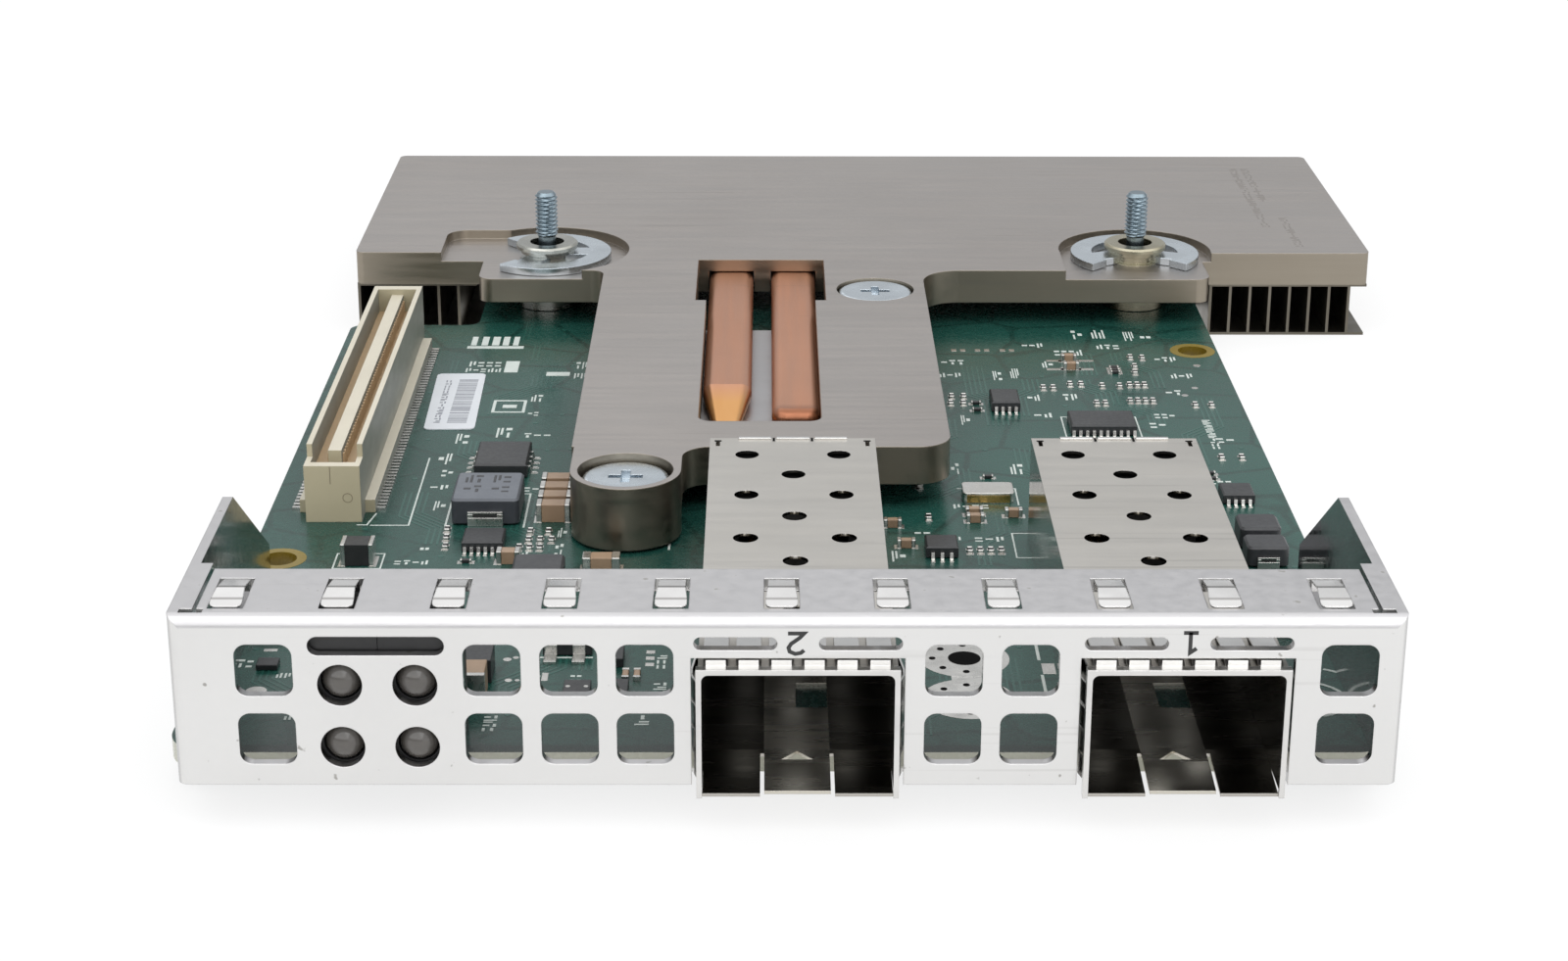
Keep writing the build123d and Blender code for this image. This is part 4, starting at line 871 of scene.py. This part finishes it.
DIGIT_LINES = (
    [(1.12, 10.6), (0.9, 10.4), (0.5, 10.32), (0.1, 10.5), (0.02, 10.8), (0.2, 11.1),
     (0.8, 11.55), (1.12, 11.9), (-0.02, 11.9)],
    [(28.95, 10.75), (28.5, 10.42), (28.5, 12.0)],
    [(28.0, 11.95), (29.04, 11.95)],
)
DIGIT_W = 0.28
ETCHED_ROWS = ((54.2, 127.0, 153.0), (55.6, 138.0, 153.0), (56.6, 119.0, 131.0))
BARS_FROM, BARS_TO = 77.6, 90.6


def board_print(chance):
    """Plain strokes and outlines on the board, beside the parts."""
    ink = Shape()
    for box in MARKS_ACROSS:
        tag(ink, chance, *box)
    for box in MARKS_ALONG:
        tag(ink, chance, *box, lengthwise=True)
    for box in INK_BLOCKS:
        ink.bar(*box, 0, INK_T)
    for x in INK_COMB:
        ink.bar(x, x + chance.uniform(0.5, 0.9), 102.2, 105.1, 0, INK_T)
    ink.frame_of(-28.6, -25.3, 80.9, 84.6, 0.3, 0, INK_T)
    ink.bar(-27.6, -26.2, 82.3, 83.2, 0, INK_T)
    for box in INK_FRAMES:
        ink.frame_of(*box, 0.14, 0, INK_T)
    for line, width in INK_LINES:
        ink.ribbon(line, width, 0, INK_T)
    make_piece("board_print", ink, white_ink)


def part_marks(chance):
    """Bars and strokes on the sticker, the choke, the heat sink and the faceplate."""
    marks = Shape()
    top = in_mm("sticker")[1].z
    y = BARS_FROM
    while y < BARS_TO:
        thick = chance.choice((0.12, 0.12, 0.2, 0.34))
        marks.bar(-32.6, -30.7, y, y + thick, top - 0.005, top + 0.01)
        y += thick + chance.choice((0.14, 0.2, 0.3))
    tag(marks, chance, -33.9, -33.3, BARS_FROM, BARS_TO, lengthwise=True, z=top - 0.005)
    make_piece("label_marks", marks, grey_ink)

    etched = Shape()
    top = in_mm("power_choke")[1].z
    for x0, x1 in ((-28.6, -26.8), (-26.1, -24.3)):
        tag(etched, chance, x0, x1, 55.0, 56.8, z=top - 0.02)
        tag(etched, chance, x0, x1, 52.6, 54.2, z=top - 0.02)
    make_piece("choke_marks", etched, ferrite_dark)
    faint = Shape()
    top = in_mm("heat_sink_plate")[1].z
    for x, y0, y1 in ETCHED_ROWS:
        tag(faint, chance, x, x + 0.9, y0, y1, lengthwise=True, z=top - 0.022)
    make_piece("faint_etching", faint, nickel_etched)

    digits = Shape()
    for line in DIGIT_LINES:
        digits.ribbon(line, DIGIT_W, 0, INK_T)
    make_piece("port_digits", digits, black_ink,
               turn=lambda x, z, y: (x, -y, z))


TRACK_SEED = 11
# Parts of the board that carry tracks: x0, x1, y0, y1
TRACK_AREAS = ((-36.5, -19.5, 40, 112), (-45, -36.8, 38, 50), (10.5, 44.5, 40, 108),
               (-42, 42, 8, 36), (-30, -12, 26, 50))
TRACK_W = 0.2
TRACK_PITCH = 0.5
TRACK_SPACE = 0.3
AREA_PER_BUNDLE = 12
MITRE = 0.414
VIAS = 260
VIA_D = 0.55
VIA_SPACE = 0.35
HOLE_SPACE = 2.6


def routed_copper():
    """Faint raised tracks and vias under the solder mask, from a fixed seed."""
    chance = random.Random(TRACK_SEED)
    tracks = Shape()
    taken = [(x - HOLE_SPACE, x + HOLE_SPACE, y - HOLE_SPACE, y + HOLE_SPACE)
             for x, y in TOOLING_HOLES]

    def free(x0, x1, y0, y1):
        if any(x0 < b and a < x1 and y0 < d and c < y1 for a, b, c, d in taken):
            return False
        taken.append((x0, x1, y0, y1))
        return True

    for x0, x1, y0, y1 in TRACK_AREAS:
        for _ in range(int((x1 - x0) * (y1 - y0) / AREA_PER_BUNDLE)):
            x, y = chance.uniform(x0, x1), chance.uniform(y0, y1)
            way = chance.choice((-1, 1))
            first, slant, last = chance.uniform(2, 9), chance.uniform(1, 4), chance.uniform(2, 10)
            lines = []
            for k in range(chance.randint(2, 5)):
                left = x + k * TRACK_PITCH
                bend = k * TRACK_PITCH * MITRE * way
                lines.append([(left, y), (left, y + first - bend),
                              (left + way * slant, y + first + slant - bend),
                              (left + way * slant, y + first + slant + last)])
            xs = [p[0] for line in lines for p in line]
            ys = [p[1] for line in lines for p in line]
            inside = min(xs) > x0 and max(xs) < x1 and min(ys) > y0 and max(ys) < y1
            if inside and free(min(xs) - TRACK_SPACE, max(xs) + TRACK_SPACE,
                               min(ys) - TRACK_SPACE, max(ys) + TRACK_SPACE):
                for line in lines:
                    tracks.ribbon(line, TRACK_W, 0, FILM_T)
    for _ in range(VIAS):
        x, y = chance.uniform(-44, 44), chance.uniform(7, 110)
        if free(x - VIA_SPACE, x + VIA_SPACE, y - VIA_SPACE, y + VIA_SPACE):
            tracks.disc(x, y, VIA_D, 0, FILM_T, 10)
    make_piece("routed_copper", tracks, trace_mask)


# Mounting pads behind the windows, with their ring of small holes
MOUNTING_PADS = ((14.15, 22.2), (14.0, 14.6))
MOUNTING_PAD_D = 7.2
MOUNTING_HOLE_D = 2.6
RING_HOLES = 8
RING_D = 5.1
RING_HOLE_D = 0.55
# Round test points: x, y, diameter
TEST_POINTS = (
    (-22.2, 49.1, 0.5), (-23.0, 45.3, 0.5), (-40.95, 16.0, 1.7), (-22.05, 21.95, 0.7),
    (-21.4, 22.3, 0.5), (-21.65, 18.0, 0.6), (-20.95, 18.0, 0.4), (-30.8, 40.2, 0.9),
    (-29.2, 40.2, 0.8), (-27.9, 40.2, 0.8), (12.2, 60.2, 0.8), (41.6, 88.6, 0.7),
    (42.8, 95.7, 0.8), (40.3, 86.3, 0.7),
)
EMPTY_PLACES = (18.5, 21.0, 23.6)
BARE_BARS = (
    (-41.6, -40.5, 23.5, 24.0), (-41.6, -40.5, 21.7, 22.3), (20.15, 21.2, 19.2, 21.2),
    (27.4, 32.3, 97.0, 97.5), (27.2, 32.0, 94.2, 94.8), (-11.1, -10.4, 20.7, 21.3),
    (-11.1, -10.4, 21.9, 22.5), (-11.1, -10.4, 23.1, 23.7), (-19.1, -18.6, 17.9, 19.4),
)


def bare_places():
    """Tinned pads, mounting pads, test points and bare rings round the tooling holes."""
    pads = Shape()
    for x, y in MOUNTING_PADS:
        pads.disc(x, y, MOUNTING_PAD_D, 0, PAD_T, 40)
    pads.bar(12.9, 15.3, 17.2, 19.6, 0, PAD_T * 0.7)
    for x, y, d in TEST_POINTS:
        pads.disc(x, y, d, 0, PAD_T, 14)
    for x in EMPTY_PLACES:
        pads.bar(x - 0.75, x - 0.2, 100.3, 101.1, 0, PAD_T)
        pads.bar(x + 0.2, x + 0.75, 100.3, 101.1, 0, PAD_T)
    for box in BARE_BARS:
        pads.bar(*box, 0, PAD_T)
    make_piece("bare_pads", pads, tin)

    # Black discs of painted shade where the mounting holes and their rings of small holes are.
    holes = Shape()
    for x, y in MOUNTING_PADS:
        holes.disc(x, y, MOUNTING_HOLE_D, 0, 2 * PAD_T, 28)
        for u, v in circle(x, y, RING_D, RING_HOLES):
            holes.disc(u, v, RING_HOLE_D, 0, 2 * PAD_T, 10)
    make_piece("hole_shade_discs", holes, painted_gap_shade)

    rings = Shape()
    for x, y in TOOLING_HOLES:
        rings.ring(x, y, 4.7, 3.05, 0, PAD_T, 28)
    make_piece("bare_rings", rings, bare_laminate)


# Parts seen through the faceplate's windows: x0, x1, y0, y1, z0, z1
WINDOW_CHIPS = (
    (-26.3, -22.9, 17.4, 20.8, 0, 2.0), (-19.3, -15.4, 22.7, 26.2, 0, 1.0),
    (-17.2, -15.1, 14.2, 16.9, 0, 0.6), (-41.6, -39.9, 19.8, 21.3, 0, 0.5),
    (-13.9, -12.8, 20.4, 23.1, 0, 0.8), (-13.4, -12.2, 14.4, 17.1, 0, 0.6),
)
WINDOW_CAPACITORS = (
    (-26.4, -23.1, 14.1, 16.7, 0, 2.4), (-12.8, -12.3, 18.1, 19.2, 0, 0.4),
    (-11.9, -11.4, 18.1, 19.2, 0, 0.4),
)


def parts_behind_windows():
    """Small board parts that show through the faceplate's windows."""
    for name, boxes, material, slot, bevel in (
            ("window_chips", WINDOW_CHIPS, epoxy, "black_epoxy", 0.08),
            ("window_capacitors", WINDOW_CAPACITORS, ceramic, "ceramic_tan", 0.1)):
        bodies = Shape()
        for box in boxes:
            bodies.bar(*box)
        make_piece(name, bodies, material, bevel=bevel)
    ends = Shape()
    ends.bar(-26.5, -23.05, 13.6, 14.1, 0, 2.45)
    for x in (-18.65, -16.4):
        ends.bar(x - 0.5, x + 0.5, 21.0, 22.7, 0, 0.25)
        ends.bar(x - 0.5, x + 0.5, 22.5, 22.7, 0.25, 1.0)
        ends.bar(x - 0.5, x + 0.5, 22.7, 23.9, 1.0, 1.06)
    for x in (-16.85, -15.45):
        ends.disc(x, 15.6, 0.4, 0.6, 0.63, 12)
    for x in (-12.55, -11.65):
        ends.bar(x - 0.28, x + 0.28, 17.8, 18.1, 0, 0.42)
        ends.bar(x - 0.28, x + 0.28, 19.2, 19.5, 0, 0.42)
    make_piece("window_part_ends", ends, tin, bevel=0.03)


HOOK_SHARE = 0.16
FOOT_TOP, BRIDGE_LOW = 0.6, 0.85


def choke_ends():
    """Foot and two hooks at each end of a choke, in place of the plain CAD terminals, with a dark
    bar of painted shade between the hooks.
    """
    ends, hook_gap_shade = Shape(), Shape()
    for (x0, y0, z0), (x1, y1, z1) in islands("choke_terminals"):
        low, high = z1 * FOOT_TOP, z1 * BRIDGE_LOW
        hook = (x1 - x0) * HOOK_SHARE
        ends.bar(x0, x1, y0, y1, z0, low)
        ends.bar(x0, x1, y0 + 0.02, y1 - 0.02, high, z1)
        for side in (x0, x1 - hook):
            ends.bar(side, side + hook, y0 + 0.01, y1 - 0.01, low, high)
        # Dark bar of painted shade in the recess between the hooks.
        hook_gap_shade.bar(x0 + hook, x1 - hook, y0 + 0.08, y1 - 0.08, low, high)
    make_piece("choke_ends", ends, tin, bevel=0.04, node="choke_terminals")
    make_piece("choke_end_gap_shade", hook_gap_shade, black_ink)


# Rear edge of a cage roof, seen from the cage's middle
ROLLED_EDGES = ((-4.7, -1.8), (-1.45, 1.5), (1.85, 4.75))
EDGE_GAPS = (-1.62, 1.67)
EDGE_NOTCH = 6.42
LIP_HALF = 0.72


def cage_trim():
    """Rolled rear edges of the cage roofs in the lighter spring steel as a painted highlight, dark
    bars of painted shade in their slits and notches, and the front lips of the collars' fingers
    with a painted highlight.
    """
    rolled, edge_gap_shade, lips = Shape(), Shape(), Shape()
    for number in (1, 2):
        low, high = in_mm(f"port_cage_{number}")
        middle = (low.x + high.x) / 2
        rear, roof = high.y, high.z
        for x0, x1 in ROLLED_EDGES:
            rolled.bar(middle + x0, middle + x1, rear - 0.4, rear, roof, roof + 0.16, 0.06)
        # Dark bars of painted shade in the slits of the rolled edge and in its notches.
        for x in EDGE_GAPS:
            edge_gap_shade.bar(middle + x - 0.1, middle + x + 0.1, rear - 0.75, rear - 0.05,
                     roof, roof + 0.05)
        for x in (middle - EDGE_NOTCH, middle + EDGE_NOTCH):
            edge_gap_shade.bar(x - 0.3, x + 0.3, rear - 0.85, rear - 0.6, roof, roof + 0.02)
        for i in range(COLLAR_FINGERS):
            x = middle + (i - (COLLAR_FINGERS - 1) / 2) * COLLAR_PITCH
            lips.bar(x - LIP_HALF, x + LIP_HALF, low.y + 0.6, low.y + 0.7,
                     roof + 0.15, roof + 0.53)
    make_piece("collar_lips", lips, lip_highlight_steel, bevel=0.03)
    make_piece("cage_rolled_edges", rolled, spring_steel, bevel=0.04)
    make_piece("cage_edge_gap_shade", edge_gap_shade, painted_gap_shade)


def crystal_front():
    """Gold front of the crystal's can."""
    front = Shape()
    for (x0, y0, z0), (x1, _, z1) in islands("crystal"):
        front.bar(x0 + 0.35, x1 - 0.35, y0 - 0.03, y0 + 0.05, z0 + 0.08, z1 - 0.22)
    make_piece("crystal_front", front, gold)


CONNECTOR_HALF = 2.475
TROUGH_WALL = 0.5
RIB_HALF = 0.6
TROUGH_LOW, TROUGH_TOP = 1.2, 4.1


def connector_trim():
    """Floors of the board connector's two troughs, its moulding seam and ejector mark."""
    low, high = in_mm("mezzanine_connector")
    middle = (low.x + high.x) / 2
    floors = Shape()
    for x0, x1 in ((middle - CONNECTOR_HALF + TROUGH_WALL, middle - RIB_HALF),
                   (middle + RIB_HALF, middle + CONNECTOR_HALF - TROUGH_WALL)):
        floors.bar(x0, x1, low.y + 1.0, high.y - 1.2, TROUGH_LOW, TROUGH_TOP)
    make_piece("trough_floors", floors, trough_floor)
    seams = Shape()
    seams.bar(middle - 0.2, middle - 0.13, low.y - 0.015, low.y + 0.02, 3.6, 5.25)
    make_piece("connector_seams", seams, seam_tan)
    mark = Shape()
    mark.ring(middle + 1.3, -2.3, 0.9, 0.78, -0.015, 0.02, 20)
    make_piece("connector_mark", mark, seam_tan,
               turn=lambda x, z, depth: (x, low.y - depth, -z))


UNDERSIDE_SEED = 23
UNDER = -BOARD_T
CAGE_WALL = 0.125
CAGE_LEG_ROWS = (12.0, 26.0, 40.0)
HOST_PADS = 10
HOST_PITCH = 0.8
# Lamp leads: middles of the two columns, rows, and half the distance of a lamp's two leads
LAMP_COLUMNS = (-31.9, -26.55)
LAMP_ROWS = (10.75, 12.35)
LAMP_LEAD = 1.27


def underside_detail():
    """Solder joints, plain print and vias on the hidden side."""
    joints = Shape()
    for number in (1, 2):
        low, high = in_mm(f"port_cage_{number}")
        edges = (low.x + CAGE_WALL, high.x - CAGE_WALL)
        for x in edges:
            for y in CAGE_LEG_ROWS:
                joints.disc(x, y, 1.0, UNDER - 0.5, UNDER, 14)
                joints.ring(x, y, 1.9, 0.9, UNDER - INK_T, UNDER, 18)
        for i in range(HOST_PADS):
            x = sum(edges) / 2 + (i - (HOST_PADS - 1) / 2) * HOST_PITCH
            joints.bar(x - 0.2, x + 0.2, 47.4, 48.6, UNDER - INK_T, UNDER)
    for column in LAMP_COLUMNS:
        for x in (column - LAMP_LEAD, column + LAMP_LEAD):
            for y in LAMP_ROWS:
                joints.disc(x, y, 1.3, UNDER - 0.02, UNDER, 16)
                joints.disc(x, y, 0.7, UNDER - 0.6, UNDER, 12)
    make_piece("solder_joints", joints, tin)
    chance = random.Random(UNDERSIDE_SEED)
    ink = Shape()
    for _ in range(46):
        x, y = chance.uniform(-42, 40), chance.uniform(12, 108)
        tag(ink, chance, x, x + chance.choice((1.6, 2.4)), y, y + 1.1, z=UNDER - INK_T)
    make_piece("underside_print", ink, white_ink)
    vias = Shape()
    for _ in range(120):
        vias.disc(chance.uniform(-43, 43), chance.uniform(8, 112), 0.6, UNDER - FILM_T, UNDER, 8)
    make_piece("underside_vias", vias, trace_mask)


# Stage and light
SOFT_LIGHT = 0.62
FLOOR_HALF_M = 3.0
FLOOR_GLOW = 0.8
# Lamps: place and aim in millimetres, width and depth in metres, power in watts
LAMPS = (
    ("key", (-160, -330, 420), (0, 40, 0), 1.0, 0.8, 2.9),
    ("top", (60, 160, 520), (10, 70, 0), 1.2, 1.0, 2.6),
    ("fill", (330, -220, 260), (0, 40, 0), 0.8, 0.8, 1.3),
)


def light_world():
    """Pale soft light all round, with plain white where the camera sees the world."""
    world = bpy.data.worlds.new("studio")
    bpy.context.scene.world = world
    world.use_nodes = True
    g = Graph(world.node_tree)
    path = g.add("LightPath").outputs
    seen = g.math("MAXIMUM", path["Is Camera Ray"], path["Is Transmission Ray"])
    soft = g.add("Background", {"Color": (0.96, 0.98, 1.0), "Strength": SOFT_LIGHT})
    white = g.add("Background", {"Color": (1, 1, 1), "Strength": 1.0})
    both = g.add("MixShader", {0: seen, 1: soft.outputs[0], 2: white.outputs[0]})
    g.add("OutputWorld", {"Surface": both.outputs[0]})


def lay_floor():
    """Pale floor that melts into the white background."""
    half = FLOOR_HALF_M
    mesh = bpy.data.meshes.new("floor")
    mesh.from_pydata([(-half, -half, 0), (half, -half, 0), (half, half, 0), (-half, half, 0)],
                     [], [(0, 1, 2, 3)])
    floor = new_object("floor", mesh)
    material, g, coords = new_material("floor")
    path = g.add("LightPath").outputs
    seen = g.math("MAXIMUM", path["Is Camera Ray"],
                  g.math("MAXIMUM", path["Is Glossy Ray"], path["Is Transmission Ray"]))
    tone = g.mix(g.noise(coords, 40.0, 3.0), (0.86, 0.86, 0.86), (0.88, 0.88, 0.88))
    matt = g.add("BsdfDiffuse", {"Color": tone})
    glow = g.add("Emission", {"Color": (1, 1, 1), "Strength": 1.0})
    share = g.times(seen, FLOOR_GLOW)
    both = g.add("MixShader", {0: share, 1: matt.outputs[0], 2: glow.outputs[0]})
    g.add("OutputMaterial", {"Surface": both.outputs[0]})
    mesh.materials.append(material)


def hang_lamps():
    """Three large soft lamps."""
    for name, at, aim, width, depth, power in LAMPS:
        data = bpy.data.lights.new(name, "AREA")
        data.shape = "RECTANGLE"
        data.size = width
        data.size_y = depth
        data.energy = power
        lamp = new_object(name, data)
        lamp.location = place(*at)
        way = place(*aim) - lamp.location
        lamp.rotation_mode = "QUATERNION"
        lamp.rotation_quaternion = way.to_track_quat("-Z", "Y")


make_camera()
light_world()
lay_floor()
hang_lamps()
dress_nodes()
pads = small_parts()
formed_leads(pads)
make_piece("solder_pads", pads, tin)
threaded_screws()
routed_copper()
print_draws = random.Random(PRINT_SEED)
board_print(print_draws)
part_marks(print_draws)
bare_places()
parts_behind_windows()
choke_ends()
cage_trim()
crystal_front()
connector_trim()
underside_detail()

bpy.context.scene.view_settings.view_transform = "Standard"
